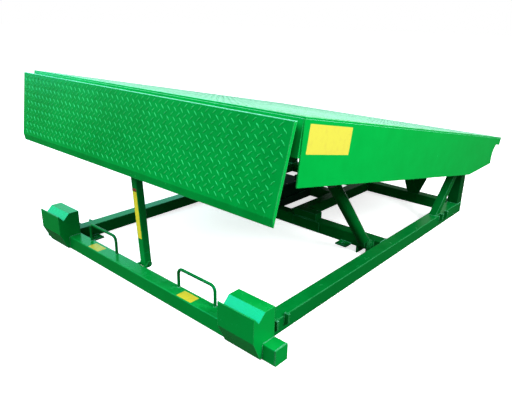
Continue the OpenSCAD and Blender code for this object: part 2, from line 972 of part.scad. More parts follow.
module barrel(x) {
  bore_z = barrel_start + barrel_end_t;
  color("seagreen")
    on_cylinder(x)
      difference() {
        union() {
          bar_x(-eye_t / 2, eye_t / 2, 0, 0, eye_r);
          translate([-eye_t / 2, -eye_neck, 0])
            cube([eye_t, 2 * eye_neck, barrel_start]);
          translate([0, 0, barrel_start])
            cylinder(h = barrel_l - barrel_start, r = barrel_r);
        }
        bar_x(-eye_t, eye_t, 0, 0, cyl_pin_r + pin_fit);
        translate([0, 0, bore_z])
          cylinder(h = barrel_l - gland_l - bore_z, r = barrel_bore_r);
        translate([0, 0, bore_z])
          cylinder(h = barrel_l, r = rod_r + rod_fit);
      }
}

module right_barrel() {
  barrel(cyl_x);
}

module left_barrel() {
  barrel(-cyl_x);
}

module rod(x) {
  color("silver")
    on_cylinder(x)
      translate([0, 0, cyl_len])
        difference() {
          union() {
            bar_x(-eye_t / 2, eye_t / 2, 0, 0, eye_r);
            translate([0, 0, -rod_l])
              cylinder(h = rod_l, r = rod_r);
            translate([0, 0, -rod_l])
              cylinder(h = piston_l, r = barrel_bore_r - rod_fit);
          }
          bar_x(-eye_t, eye_t, 0, 0, cyl_pin_r + eye_play);
        }
}

module right_rod() {
  rod(cyl_x);
}

module left_rod() {
  rod(-cyl_x);
}

front_beam();
left_rail();
right_rail();
cross_beam();
rear_beam();
centre_rail();
tube_caps();
rear_posts();
rear_braces();
rear_header();
hinge_stands();
frame_lugs();
hinge_pins();
left_keeper();
right_keeper();
left_handle();
right_handle();
prop_bracket();
prop_pin();
cylinder_feet();
foot_pins();
anchor_plates();
rail_lugs();
pump_tray();
oil_tank();
pump_motor();
deck_plate();
deck_header();
deck_stringers();
deck_tail();
deck_lugs();
left_skirt();
right_skirt();
deck_knuckles();
lip_pin();
cylinder_heads();
head_pins();
lip_plate();
lip_knuckles();
prop_strut();
left_barrel();
right_barrel();
left_rod();
right_rod();
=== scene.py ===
# %% [markdown]
# # A dock leveler, dressed for its picture
#
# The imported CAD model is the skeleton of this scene. It brings every tube, plate and pin
# in its real place, in metres. The script adds a camera and soft light, and then what CAD
# leaves out: paint, tread bars, weld beads, bolts, small fittings and plain stickers.

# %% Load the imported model
import math

import bpy
from mathutils import Matrix, Vector


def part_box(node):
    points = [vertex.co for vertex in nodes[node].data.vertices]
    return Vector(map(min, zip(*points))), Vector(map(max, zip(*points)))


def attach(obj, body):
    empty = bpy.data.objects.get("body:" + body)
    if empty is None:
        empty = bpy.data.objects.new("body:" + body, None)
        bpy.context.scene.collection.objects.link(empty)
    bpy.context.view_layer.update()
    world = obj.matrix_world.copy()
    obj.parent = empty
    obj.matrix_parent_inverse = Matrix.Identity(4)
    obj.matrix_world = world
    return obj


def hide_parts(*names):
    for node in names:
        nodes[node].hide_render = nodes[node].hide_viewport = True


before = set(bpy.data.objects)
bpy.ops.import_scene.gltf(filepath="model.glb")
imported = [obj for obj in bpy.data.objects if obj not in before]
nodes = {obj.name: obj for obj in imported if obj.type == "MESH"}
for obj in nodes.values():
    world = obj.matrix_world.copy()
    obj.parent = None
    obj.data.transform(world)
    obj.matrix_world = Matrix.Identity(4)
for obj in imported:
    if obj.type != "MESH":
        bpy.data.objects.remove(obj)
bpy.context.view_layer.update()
scene = bpy.context.scene
box = {name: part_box(name) for name in nodes}
print("loaded", len(nodes), "nodes")

# %% [markdown]
# ## The camera
#
# The photograph was measured once: the straight tubes give its vanishing points, and the
# tube size gives its scale. That leaves a place, three angles and a focal length.

# %% Camera at the photograph's view
IMAGE_W = 512
FOCAL_PX = 501.76
CAMERA_AT = Vector((2.0239, -1.3930, 1.3602))
YAW, TILT, ROLL = -0.7215, -0.3478, 0.0219
SENSOR = 36.0

forward = Vector((math.sin(YAW) * math.cos(TILT), math.cos(YAW) * math.cos(TILT), math.sin(TILT)))
level_right = Vector((math.cos(YAW), -math.sin(YAW), 0.0))
level_up = level_right.cross(forward)
cam_right = level_right * math.cos(ROLL) + level_up * math.sin(ROLL)
cam_up = level_up * math.cos(ROLL) - level_right * math.sin(ROLL)

cam = bpy.data.cameras.new("camera")
cam.sensor_width = SENSOR
cam.lens = SENSOR * FOCAL_PX / IMAGE_W
camera = bpy.data.objects.new("camera", cam)
turn = Matrix((cam_right, cam_up, -forward)).transposed()
camera.matrix_world = Matrix.Translation(CAMERA_AT) @ turn.to_4x4()
scene.collection.objects.link(camera)
scene.camera = camera
print("camera lens", round(cam.lens, 2), "mm")

# %% [markdown]
# ## Node arithmetic
#
# Node trees are easier to read as formulas. A `Sock` wraps one output socket, and its
# operators make Math nodes. Its `make` method adds any other node. The same class serves
# the materials here and the geometry nodes further down.

# %% A socket with operators
class Sock:
    """One output socket of a node tree that can be used in formulas."""

    def __init__(self, tree, socket):
        self.tree = tree
        self.socket = socket

    def make(self, kind, settings=None, out=0, **inputs):
        """Adds a node, sets its properties first, then its inputs by name or number."""
        node = self.tree.nodes.new(kind)
        for key, value in (settings or {}).items():
            setattr(node, key, value)
        for key, value in inputs.items():
            place = node.inputs[int(key[1:])] if key[1:].isdigit() else node.inputs[key.replace("_", " ")]
            if isinstance(value, Sock):
                self.tree.links.new(value.socket, place)
            else:
                place.default_value = value
        return Sock(self.tree, node.outputs[out])

    def math(self, operation, *values):
        inputs = {f"i{number}": value for number, value in enumerate(values)}
        return self.make("ShaderNodeMath", {"operation": operation}, **inputs)

    def __add__(self, other):
        return self.math("ADD", self, other)

    def __sub__(self, other):
        return self.math("SUBTRACT", self, other)

    def __rsub__(self, other):
        return self.math("SUBTRACT", other, self)

    def __mul__(self, other):
        return self.math("MULTIPLY", self, other)

    def __truediv__(self, other):
        return self.math("DIVIDE", self, other)

    def __pow__(self, other):
        return self.math("POWER", self, other)

    __radd__ = __add__
    __rmul__ = __mul__

    def size(self):
        return self.math("ABSOLUTE", self)

    def at_least(self, value):
        return self.math("MAXIMUM", self, value)

    def axis(self, number):
        """One coordinate of a vector socket."""
        return self.make("ShaderNodeSeparateXYZ", out=number, i0=self)

    def ramp(self, low, high):
        """0 below low, 1 above high, smooth between."""
        return self.make("ShaderNodeMapRange", {"interpolation_type": "SMOOTHSTEP"},
                         Value=self, From_Min=low, From_Max=high)

    def blend(self, first, second):
        """A colour that goes from first to second as this socket goes from 0 to 1."""
        return self.make("ShaderNodeMix", {"data_type": "RGBA"}, out=2, i0=self, i6=first, i7=second)


def new_material(name):
    """An empty material, its Principled shader and the Object coordinates to start from."""
    material = bpy.data.materials.new(name)
    material.use_nodes = True
    tree = material.node_tree
    shader = tree.nodes["Principled BSDF"]
    here = Sock(tree, tree.nodes.new("ShaderNodeTexCoord").outputs["Object"])
    return material, shader, here


def noise(here, scale, detail=2.0, rough=0.5, stretch=None):
    """A noise value between 0 and 1, stretched along an axis if asked."""
    place = here
    if stretch:
        place = here.make("ShaderNodeMapping", i0=here, Scale=stretch)
    return here.make("ShaderNodeTexNoise", Vector=place, Scale=scale, Detail=detail, Roughness=rough)


def plug(shader, **sockets):
    """Links formulas and sets constants on a shader's inputs."""
    for key, value in sockets.items():
        place = shader.inputs[key.replace("_", " ")]
        if isinstance(value, Sock):
            value.tree.links.new(value.socket, place)
        else:
            place.default_value = value


print("node helpers ready")

# %% [markdown]
# ## Light and floor
#
# The dome is bright overhead and dim lower down, so that what stands under the deck stays
# deep, as in the photograph. Behind the leveler a pale glow stands for the bright floor that
# the deck mirrors at a flat angle. What is seen past the floor is plain white. One large soft
# light on the right models the skirt, and one in front and above fills the lip, so that the
# tread bars of both directions catch it. Two mint ones and a pale blue one on the left give the
# turquoise gloss that the photograph shows on the keepers and the beam. The floor shines a
# little by itself, so its shadows stay pale.

# %% World, floor and soft lights
scene.view_settings.view_transform = "Standard"
WHITE = (1.0, 1.0, 1.0, 1.0)
SKY_HIGH = (1.05, 1.05, 1.05, 1.0)
SKY_LOW = (0.30, 0.31, 0.31, 1.0)
GROUND = (0.05, 0.06, 0.05, 1.0)
GLOW = (0.90, 1.10, 1.02, 1.0)
MINT = (0.05, 1.0, 0.78)
AQUA = (0.45, 0.85, 1.0)
AWAY_LEFT, AWAY_BACK = 0.72, 0.69

world = bpy.data.worlds.new("studio")
world.use_nodes = True
dome = world.node_tree.nodes["Background"]
toward = Sock(world.node_tree, world.node_tree.nodes.new("ShaderNodeTexCoord").outputs["Generated"])
rise = toward.axis(2)
sky = rise.ramp(-0.02, 0.02).blend(GROUND, rise.ramp(0.10, 0.85).blend(SKY_LOW, SKY_HIGH))
low = 1.0 - (rise + 0.10).size().ramp(0.20, 0.26)
behind = (toward.axis(1) * AWAY_BACK - toward.axis(0) * AWAY_LEFT).ramp(0.5, 0.9)
seen = toward.make("ShaderNodeLightPath")
plug(dome, Color=seen.blend((low * behind).blend(sky, GLOW), WHITE), Strength=1.0)
scene.world = world


def soft_light(name, at, target, size, watts, colour=(1.0, 1.0, 1.0)):
    """An area light that looks from one point at another."""
    data = bpy.data.lights.new(name, "AREA")
    data.shape = "DISK"
    data.size = size
    data.energy = watts
    data.color = colour
    lamp = bpy.data.objects.new(name, data)
    aim = Vector(target) - Vector(at)
    lamp.matrix_world = Matrix.Translation(at) @ aim.to_track_quat("-Z", "Y").to_matrix().to_4x4()
    scene.collection.objects.link(lamp)


MIDDLE = (0.0, 1.0, 0.7)
soft_light("key", (4.6, 0.6, 3.4), MIDDLE, 2.2, 400)
soft_light("front", (2.6, -3.4, 1.6), MIDDLE, 1.6, 20)
soft_light("fill", (0.2, -3.6, 3.6), MIDDLE, 3.0, 150)
soft_light("rim", (-5.0, 4.0, 2.2), MIDDLE, 4.0, 60, MINT)
soft_light("side", (-5.4, -2.0, 2.5), MIDDLE, 2.4, 70, MINT)
soft_light("slope", (-2.7, -3.1, 4.1), MIDDLE, 2.4, 132, AQUA)

FLOOR_DIM, FLOOR_PALE = (0.80, 0.80, 0.80, 1.0), (0.84, 0.84, 0.84, 1.0)
FLOOR_SHINE = 0.72
FLOOR_HALF = 60.0
floor_paint, floor_shader, floor_here = new_material("pale_floor")
cloudy = noise(floor_here, 0.6, 3.0)
plug(floor_shader, Base_Color=cloudy.blend(FLOOR_DIM, FLOOR_PALE), Roughness=0.9,
     Specular_IOR_Level=0.0, Emission_Color=WHITE, Emission_Strength=FLOOR_SHINE)
floor_mesh = bpy.data.meshes.new("floor")
floor_mesh.from_pydata(
    [(-FLOOR_HALF, -FLOOR_HALF, 0), (FLOOR_HALF, -FLOOR_HALF, 0),
     (FLOOR_HALF, FLOOR_HALF, 0), (-FLOOR_HALF, FLOOR_HALF, 0)], [], [(0, 1, 2, 3)])
floor_mesh.materials.append(floor_paint)
floor = bpy.data.objects.new("floor", floor_mesh)
floor.visible_diffuse = False
floor.visible_glossy = False
scene.collection.objects.link(floor)

# %% [markdown]
# ## Where the moving plates lie
#
# The deck is raised about its rear hinge, and the lip hangs square to it. Pieces for a
# turned body are easiest to draw on the flat, so each body gets a matrix that takes flat
# drawings to its place. On the deck, y runs back from the front edge and z is up. On the
# lip, the origin is the hinge axis. On the prop and the cylinders, z runs up from the foot.

# %% Frames of the deck, the lip, the prop and the cylinders
HINGE = (2.330, 0.575)
RAISE = math.radians(10.6)
DECK_REACH = 2.360
HINGE_DROP = 0.035
LIP_AXIS = (-0.017, -0.036)
PROP_X = -0.066
PROP_PIN = (0.076, 0.080)
PROP_LEAN = math.radians(3.2)
CYL_X = 0.660
CYL_FOOT = (1.180, 0.070)
CYL_TOP = (0.540, -0.110)

DECK = (Matrix.Translation((0, HINGE[0], HINGE[1])) @ Matrix.Rotation(-RAISE, 4, "X")
        @ Matrix.Translation((0, -DECK_REACH, HINGE_DROP)))
LIP = DECK @ Matrix.Translation((0, LIP_AXIS[0], LIP_AXIS[1]))
PROP = Matrix.Translation((PROP_X, PROP_PIN[0], PROP_PIN[1])) @ Matrix.Rotation(PROP_LEAN, 4, "X")
FLAT = Matrix.Identity(4)
top_pin = DECK @ Vector((0, CYL_TOP[0], CYL_TOP[1]))
CYL_LEAN = math.atan2(CYL_FOOT[0] - top_pin.y, top_pin.z - CYL_FOOT[1])


def cylinder_frame(side):
    return Matrix.Translation((side * CYL_X, *CYL_FOOT)) @ Matrix.Rotation(CYL_LEAN, 4, "X")


print("deck front edge at", [round(v, 3) for v in DECK @ Vector((0, 0, 0))])
print("cylinders lean", round(math.degrees(CYL_LEAN), 1), "degrees")

# %% [markdown]
# ## Green enamel
#
# The whole leveler wears one glossy green. Real enamel is never even: the coat is thicker
# in places, dust settles on what faces up, edges are rubbed, and shoes leave dull scuffs.
# The rubbed edges are light mint, partly wear and partly a painted highlight. Upper edges
# get a further painted highlight, and faces that don't face up get painted shade.
# Each effect is a mask between 0 and 1, and the masks mix colours and roughness. The tint
# on the reflections gives the turquoise sheen that the photograph shows on upward faces.
# The coats are lit and shaded copies of one green, so their differences are painted light and
# shade: the plates have the brightest coat, the beams and the lip deeper ones, the rails, posts
# and braces deeper still, and what lies under the deck the deepest. Two things belong to one
# plate each: a yellow patch on the skirt, and the bright coat on the lip's end faces, which is a
# painted highlight.

# %% Colours of the coats
# The coats are lit and shaded copies of one green: the lip, beam, rail, post, brace and inner coats are
# darker as painted shade.
PLATE_COAT = ((0.0, 0.270, 0.034, 1.0), (0.0, 0.350, 0.048, 1.0))
SKIRT_COAT = ((0.0, 0.270, 0.034, 1.0), (0.0, 0.308, 0.041, 1.0))
LIP_SHADE_COAT = ((0.0, 0.208, 0.027, 1.0), (0.0, 0.268, 0.038, 1.0))
BEAM_SHADE_COAT = ((0.0, 0.205, 0.026, 1.0), (0.0, 0.270, 0.037, 1.0))
RAIL_SHADE_COAT = ((0.0, 0.130, 0.018, 1.0), (0.0, 0.175, 0.025, 1.0))
INNER_SHADE_COAT = ((0.0, 0.068, 0.009, 1.0), (0.0, 0.105, 0.015, 1.0))
# The lip's bars are lighter than the plate as a painted highlight.
LIP_BAR_HIGHLIGHT_COAT = ((0.01, 0.300, 0.052, 1.0), (0.02, 0.380, 0.080, 1.0))
POST_SHADE_COAT = ((0.0, 0.042, 0.006, 1.0), (0.0, 0.063, 0.009, 1.0))
BRACE_SHADE_COAT = ((0.0, 0.085, 0.011, 1.0), (0.0, 0.125, 0.017, 1.0))
# The deck's bars are pale as a painted reflection: the deck is seen at a flat angle.
DECK_BAR_SHEEN_COAT = ((0.17, 0.39, 0.26, 1.0), (0.23, 0.46, 0.33, 1.0))
DARK_COAT = ((0.001, 0.020, 0.008, 1.0), (0.003, 0.040, 0.016, 1.0))
DUST = (0.05, 0.34, 0.20, 1.0)
PRIMER = (0.03, 0.05, 0.03, 1.0)
# A near black green for painted shade on faces that don't face up.
SIDE_SHADE = (0.0, 0.015, 0.003, 1.0)
# A light mint for rubbed edges and scuffs: partly worn paint and partly a painted highlight.
BARE_AND_SHEEN = (0.16, 0.55, 0.34, 1.0)
# A pale mint for painted highlights on upper edges.
EDGE_HIGHLIGHT = (0.30, 1.0, 0.76, 1.0)
# This yellow is made brighter as painted light, since the prop's face gets little light.
BRIGHTENED_YELLOW = (0.80, 0.66, 0.03, 1.0)
BEAM_YELLOW = (0.52, 0.45, 0.02, 1.0)
# The skirt patch's yellow is made darker as painted shade, since the strong light falls on that side.
SKIRT_SHADED_YELLOW = (0.50, 0.47, 0.05, 1.0)
SKIRT_GRIME = (0.40, 0.32, 0.05, 1.0)
SHEEN = (0.0, 1.0, 0.80, 1.0)
print("plate coat goes from", PLATE_COAT[0][:3], "to", PLATE_COAT[1][:3])

# %% Masks for edges and patches
RIGHT_FACE = (0.996, 0.999)
PATCH_BLUR = 0.001


def edge_masks(here, width):
    """Two masks: edges, where the rounded normal differs from the true one, and those that face up."""
    round_normal = here.make("ShaderNodeBevel", {"samples": 4}, Radius=width)
    true_normal = here.make("ShaderNodeNewGeometry", out=1)
    same = here.make("ShaderNodeVectorMath", {"operation": "DOT_PRODUCT"}, out=1,
                     i0=round_normal, i1=true_normal)
    edges = (1.0 - same).ramp(0.01, 0.20)
    return edges, edges * round_normal.axis(2).ramp(0.3, 0.6)


def patch_mask(here, place, middle, half, corner):
    """1 inside a rectangle with round corners, drawn on a plate's own y and z on its right face."""
    spot = here.make("ShaderNodeMapping", {"vector_type": "TEXTURE"}, i0=here,
                     Location=place.to_translation(), Rotation=place.to_euler())
    across = ((spot.axis(1) - middle[0]).size() - (half[0] - corner)).at_least(0.0)
    along = ((spot.axis(2) - middle[1]).size() - (half[1] - corner)).at_least(0.0)
    inside = 1.0 - ((across * across + along * along) ** 0.5).ramp(corner - PATCH_BLUR, corner)
    return inside * here.axis(0).ramp(*RIGHT_FACE)


print("masks ready")

# %% Paint material
BROAD, MOTTLE, FINE, PEEL = 1.7, 14.0, 160.0, 700.0
SOFT_EDGE = 0.003


def paint(name, coats, dust=0.2, wear=0.3, rub_and_sheen=0.4, lit=0.0, side_shade=0.0, gloss=0.20, shine=0.6,
          edge=0.006, patch=None, end_highlight=None):
    """Glossy enamel with mottling, settled dust, rubbed edges that are partly a painted highlight, chips and
    orange peel, painted shade on faces that don't face up, and painted highlights on upper edges and end
    faces.
    """
    material, shader, here = new_material(name)
    broad = noise(here, BROAD, 3.0)
    mottle = noise(here, MOTTLE, 4.0, 0.6)
    fine = noise(here, FINE, 3.0, 0.6)
    peel = noise(here, PEEL, 1.0)
    facing_up = here.make("ShaderNodeNewGeometry", out=1).axis(2).ramp(0.4, 0.95)
    dusty = facing_up * mottle.ramp(0.30, 0.75) * dust
    edges, upper_edges = edge_masks(here, edge)
    # Rubbed edges: partly wear and partly a painted highlight, strongest on the rails.
    rubbed_and_sheen = edges * (0.35 + 0.65 * (mottle * 0.5 + fine * 0.5).ramp(0.44, 0.60)) * rub_and_sheen
    chipped = fine.ramp(0.74, 0.78) * broad.ramp(0.54, 0.66) * wear
    scuffs = noise(here, 30.0, 5.0, 0.7, (1.0, 0.12, 1.0)).ramp(0.60, 0.72)

    coat = (broad * 0.6 + mottle * 0.4).ramp(0.30, 0.70).blend(*coats)
    # Faces that look sideways, the ends, get a brighter coat as a painted highlight.
    if end_highlight:
        sideways = here.make("ShaderNodeNewGeometry", out=1).axis(0).size().ramp(0.7, 0.9)
        coat = sideways.blend(coat, end_highlight)
    coat = (dusty * 0.25).blend(coat, DUST)
    # Painted shade in mottled patches on faces that don't face up.
    coat = ((1.0 - facing_up) * mottle.ramp(0.0, 0.6) * side_shade).blend(coat, SIDE_SHADE)
    coat = (scuffs * 0.05 * wear).blend(coat, BARE_AND_SHEEN)
    coat = (chipped * 0.5).blend(coat, PRIMER)
    coat = (rubbed_and_sheen * 0.8).blend(coat, BARE_AND_SHEEN)
    # Upper edges get a painted highlight in pale mint, as strong as lit.
    coat = (upper_edges * lit).blend(coat, EDGE_HIGHLIGHT)
    rough = gloss + mottle * 0.10 + dusty * 0.15 + scuffs * 0.12 * wear + (rubbed_and_sheen + chipped) * 0.20
    height = peel * 0.5 + fine * 0.5 - chipped * 1.5
    if patch:
        vinyl_mask = patch_mask(here, *patch)
        grime = noise(here, 40.0, 5.0, 0.7).ramp(0.45, 0.75)
        coat = vinyl_mask.blend(coat, (grime * 0.35).blend(SKIRT_SHADED_YELLOW, SKIRT_GRIME))
        rough = rough + vinyl_mask * 0.15
        height = height + vinyl_mask * 3.0

    soft = here.make("ShaderNodeBevel", {"samples": 4}, Radius=SOFT_EDGE)
    bump = here.make("ShaderNodeBump", Strength=0.05, Distance=0.001, Height=height, Normal=soft)
    plug(shader, Base_Color=coat, Roughness=rough, Normal=bump,
         Specular_IOR_Level=shine, Specular_Tint=SHEEN)
    return material


print("paint ready")

# %% The green coats in use
PATCH_AT, PATCH_HALF, PATCH_CORNER = (0.193, -0.079), (0.149, 0.056), 0.004
STICKER = (DECK, PATCH_AT, PATCH_HALF, PATCH_CORNER)
# Each green below is the same paint; the beam, rail, post, brace and inner coats are darker copies as painted
# shade.
green = paint("green_shade_enamel", BEAM_SHADE_COAT, rub_and_sheen=0.25, side_shade=0.15)
green_beam = paint("green_beam_shade_enamel", BEAM_SHADE_COAT, wear=0.15, rub_and_sheen=0.4, side_shade=0.2, shine=0.35)
green_low = paint("green_rail_shade_enamel", RAIL_SHADE_COAT, dust=0.05, wear=0.1, rub_and_sheen=0.9, lit=0.4, side_shade=0.3,
                  shine=0.15)
green_post = paint("green_post_shade_enamel", POST_SHADE_COAT, dust=0.05, rub_and_sheen=0.5, shine=0.15)
green_brace = paint("green_brace_shade_enamel", BRACE_SHADE_COAT, dust=0.05, rub_and_sheen=0.5, shine=0.15)
green_inner = paint("green_inner_shade_enamel", INNER_SHADE_COAT, dust=0.05, rub_and_sheen=0.3, shine=0.02)
green_skirt = paint("green_skirt", SKIRT_COAT, wear=0.0, rub_and_sheen=0.2, lit=0.6, shine=0.25, edge=0.004,
                    patch=STICKER)
green_plate = paint("green_tread_plate", PLATE_COAT, dust=0.4, rub_and_sheen=0.3, lit=0.6, shine=0.4, edge=0.004)
green_lip = paint("green_lip_plate_lit_and_shaded", LIP_SHADE_COAT, dust=0.4, rub_and_sheen=0.3, lit=1.0, shine=0.2, edge=0.008,
                  end_highlight=SKIRT_COAT[1])
# The lip's bars get a lighter coat as a painted highlight.
green_bar = paint("green_tread_bar_highlight", LIP_BAR_HIGHLIGHT_COAT, dust=0.4, shine=0.45, edge=0.001)
# The deck's bars get a pale coat as a painted reflection.
green_deck_bar_sheen = paint("green_deck_bar_sheen_paint", DECK_BAR_SHEEN_COAT, dust=0.4, edge=0.001)
print("paints", [m.name for m in bpy.data.materials])

# %% [markdown]
# ## Metals, dark paint and vinyl
#
# Hinge pins are greased steel, rods are hard chrome, and the pump's bolts are zinc. All three
# are metals that differ in colour and in how their roughness varies: smears of grease, fine
# lengthwise polish, or dull crystals. The pump wears a satin dark green, and the stickers are
# vinyl.

# %% Other materials
def metal(name, dim, light, rough, stain, scale, stretch=None, streak=0.1):
    """A metal whose colour and roughness vary with a stain and a fine streak."""
    material, shader, here = new_material(name)
    cloud = noise(here, scale, 4.0, 0.6)
    fine = noise(here, scale * 12.0, 2.0, 0.5, stretch)
    dirty = cloud.ramp(0.42, 0.72)
    tone = fine.ramp(0.35, 0.65).blend(dim, light)
    tone = (dirty * 0.8).blend(tone, stain)
    worn = rough + fine * streak + dirty * 0.25
    bump = here.make("ShaderNodeBump", Strength=0.08, Distance=0.0005, Height=fine)
    plug(shader, Base_Color=tone, Metallic=1.0, Roughness=worn, Normal=bump)
    return material


SCRATCHED = (0.85, 0.80, 0.55, 1.0)
YELLOW_GRIME, BEAM_GRIME = (0.40, 0.30, 0.04, 1.0), (0.30, 0.24, 0.02, 1.0)
RED_BROWN, RED_GRIME = (0.24, 0.045, 0.02, 1.0), (0.08, 0.03, 0.02, 1.0)


def vinyl(name, colour, stain):
    """Sticker vinyl: an even colour with grime in its pores and dull scratches."""
    material, shader, here = new_material(name)
    grime = noise(here, 60.0, 5.0, 0.7).ramp(0.48, 0.74)
    scratch = noise(here, 220.0, 3.0, 0.6, (1.0, 0.15, 1.0)).ramp(0.62, 0.70)
    tone = (grime * 0.4).blend(colour, stain)
    tone = (scratch * 0.25).blend(tone, SCRATCHED)
    bump = here.make("ShaderNodeBump", Strength=0.1, Distance=0.0003, Height=grime - scratch)
    plug(shader, Base_Color=tone, Roughness=0.32 + grime * 0.2 + scratch * 0.2, Normal=bump)
    return material


GREASE = (0.05, 0.045, 0.035, 1.0)
OIL_FILM = (0.35, 0.34, 0.31, 1.0)
DULLED = (0.30, 0.27, 0.20, 1.0)
LENGTHWISE = (1.0, 0.1, 0.1)
steel = metal("greased_steel", (0.16, 0.16, 0.15, 1), (0.34, 0.34, 0.33, 1), 0.30, GREASE, 25.0)
chrome = metal("hard_chrome", (0.62, 0.63, 0.65, 1), (0.72, 0.73, 0.75, 1), 0.06, OIL_FILM, 8.0,
               LENGTHWISE, 0.06)
zinc = metal("zinc_plate", (0.42, 0.43, 0.41, 1), (0.60, 0.61, 0.58, 1), 0.34, DULLED, 45.0)
dark = paint("dark_paint", DARK_COAT, dust=0.05, rub_and_sheen=0.3, gloss=0.36, shine=0.1)
yellow = vinyl("yellow_vinyl", BRIGHTENED_YELLOW, YELLOW_GRIME)
beam_yellow = vinyl("beam_yellow_vinyl", BEAM_YELLOW, BEAM_GRIME)
rust_red = vinyl("red_brown_vinyl", RED_BROWN, RED_GRIME)
print("materials", len(bpy.data.materials))

# %% [markdown]
# ## Dress the CAD nodes
#
# Each CAD node keeps its mesh and gets a material. Most are green; the table names the rest,
# material by material.

# %% Assign materials
# The table gives each part a coat by how lit it looks, so the choice of coat paints light and shade.
OTHER = {
    green_skirt: ("left_skirt", "right_skirt"),
    green_plate: ("deck_plate", "deck_header"),
    green_lip: ("lip_plate",),
    green_beam: ("front_beam", "tube_caps"),
    green_low: ("left_rail", "right_rail", "anchor_plates", "rail_lugs", "left_handle", "right_handle"),
    green_post: ("rear_posts",),
    green_brace: ("rear_braces",),
    green_inner: ("cross_beam", "rear_beam", "centre_rail", "rear_header", "hinge_stands", "cylinder_feet",
                  "left_barrel", "right_barrel", "deck_stringers", "deck_tail", "deck_lugs",
                  "frame_lugs", "cylinder_heads", "foot_pins", "head_pins"),
    steel: ("hinge_pins", "lip_pin"),
    chrome: ("left_rod", "right_rod"),
    dark: ("pump_tray", "oil_tank", "pump_motor"),
}
coat_of = {name: material for material, names in OTHER.items() for name in names}
for name, node in nodes.items():
    node.data.materials.clear()
    node.data.materials.append(coat_of.get(name, green))
print("dressed", len(nodes), "nodes,", len(coat_of), "of them by the table")

# %% [markdown]
# ## Helpers for new pieces
#
# A piece is a mesh with its place already in it, so its object stays at the origin. It
# rides on a body of the CAD model, so that it follows when the deck moves. Round and boxy
# shapes are skins over a stack of rings.

# %% Make a piece and let it ride
def keep(name, mesh, body, material, place=FLAT, smooth=False):
    """Puts a mesh in the scene as one piece that moves with a body."""
    mesh.transform(place)
    mesh.name = name
    mesh.materials.clear()
    mesh.materials.append(material)
    if smooth:
        mesh.shade_smooth()
    piece = bpy.data.objects.new(name, mesh)
    scene.collection.objects.link(piece)
    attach(piece, body)
    print(name, len(mesh.polygons), "faces on", body)
    return piece


def as_mesh(name, points, faces, edges=()):
    mesh = bpy.data.meshes.new(name)
    mesh.from_pydata(points, edges, faces)
    mesh.update()
    return mesh


print("pieces can ride")


# %% Rings, skins and joined shapes
def loft(rings, closed=True):
    """Points and faces of a skin over rings that have the same number of points."""
    count = len(rings[0])
    points = [point for ring in rings for point in ring]
    faces = []
    for level in range(len(rings) - 1):
        for spot in range(count):
            after = (spot + 1) % count
            low, high = level * count, (level + 1) * count
            faces.append((low + spot, low + after, high + after, high + spot))
    if closed:
        faces.append(tuple(reversed(range(count))))
        faces.append(tuple(range((len(rings) - 1) * count, len(rings) * count)))
    return points, faces


def circle(radius, z, count=24):
    return [(radius * math.cos(2 * math.pi * n / count), radius * math.sin(2 * math.pi * n / count), z)
            for n in range(count)]


def lathe(profile, count=24, closed=True):
    """A turned part: a skin over circles, each given as a radius and a height."""
    return loft([circle(radius, z, count) for radius, z in profile], closed)


def hexagon(radius, z, count=24):
    """A hexagon drawn with as many points as a circle, so that both fit in one skin."""
    ring = []
    for x, y, _ in circle(1.0, z, count):
        off = (math.atan2(y, x) + math.pi / 6) % (math.pi / 3) - math.pi / 6
        reach = radius * math.cos(math.pi / 6) / math.cos(off)
        ring.append((x * reach, y * reach, z))
    return ring


def gear(inner, outer, z, teeth):
    """A ring with square teeth."""
    ring = []
    for n in range(teeth * 4):
        radius = outer if n % 4 in (1, 2) else inner
        angle = 2 * math.pi * n / (teeth * 4)
        ring.append((radius * math.cos(angle), radius * math.sin(angle), z))
    return ring


def round_rectangle(half_x, half_y, corner, z, steps=5):
    """A ring of points round a rectangle with round corners."""
    ring = []
    for quarter, (sx, sy) in enumerate(((1, 1), (-1, 1), (-1, -1), (1, -1))):
        for step in range(steps + 1):
            angle = math.pi / 2 * (quarter + step / steps)
            ring.append((sx * (half_x - corner) + corner * math.cos(angle),
                         sy * (half_y - corner) + corner * math.sin(angle), z))
    return ring


def join(name, parts):
    """One mesh of several shapes, each a pair of points and faces with its own place."""
    points, faces = [], []
    for (some_points, some_faces), place in parts:
        start = len(points)
        points.extend(place @ Vector(point) for point in some_points)
        faces.extend(tuple(start + n for n in face) for face in some_faces)
    return as_mesh(name, points, faces)


print("piece helpers ready")

# %% [markdown]
# ## Repeats with geometry nodes
#
# Tread bars, bolts and weld ripples repeat, so geometry nodes make them. `group_start`
# opens a group with named inputs, `group_end` closes it with Realize Instances and Set
# Material, and `grow` runs it on a base mesh and returns a plain mesh.

# %% Geometry node helpers
def group_start(name, **kinds):
    group = bpy.data.node_groups.new(name, "GeometryNodeTree")
    group.interface.new_socket("Geometry", in_out="OUTPUT", socket_type="NodeSocketGeometry")
    for label, kind in kinds.items():
        group.interface.new_socket(label, in_out="INPUT", socket_type="NodeSocket" + kind)
    entry = group.nodes.new("NodeGroupInput")
    return group, {socket.name: Sock(group, socket) for socket in entry.outputs if socket.name}


def group_end(group, shape, material):
    real = shape.make("GeometryNodeRealizeInstances", Geometry=shape)
    done = real.make("GeometryNodeSetMaterial", Geometry=real, Material=material)
    leave = group.nodes.new("NodeGroupOutput")
    group.links.new(done.socket, leave.inputs[0])


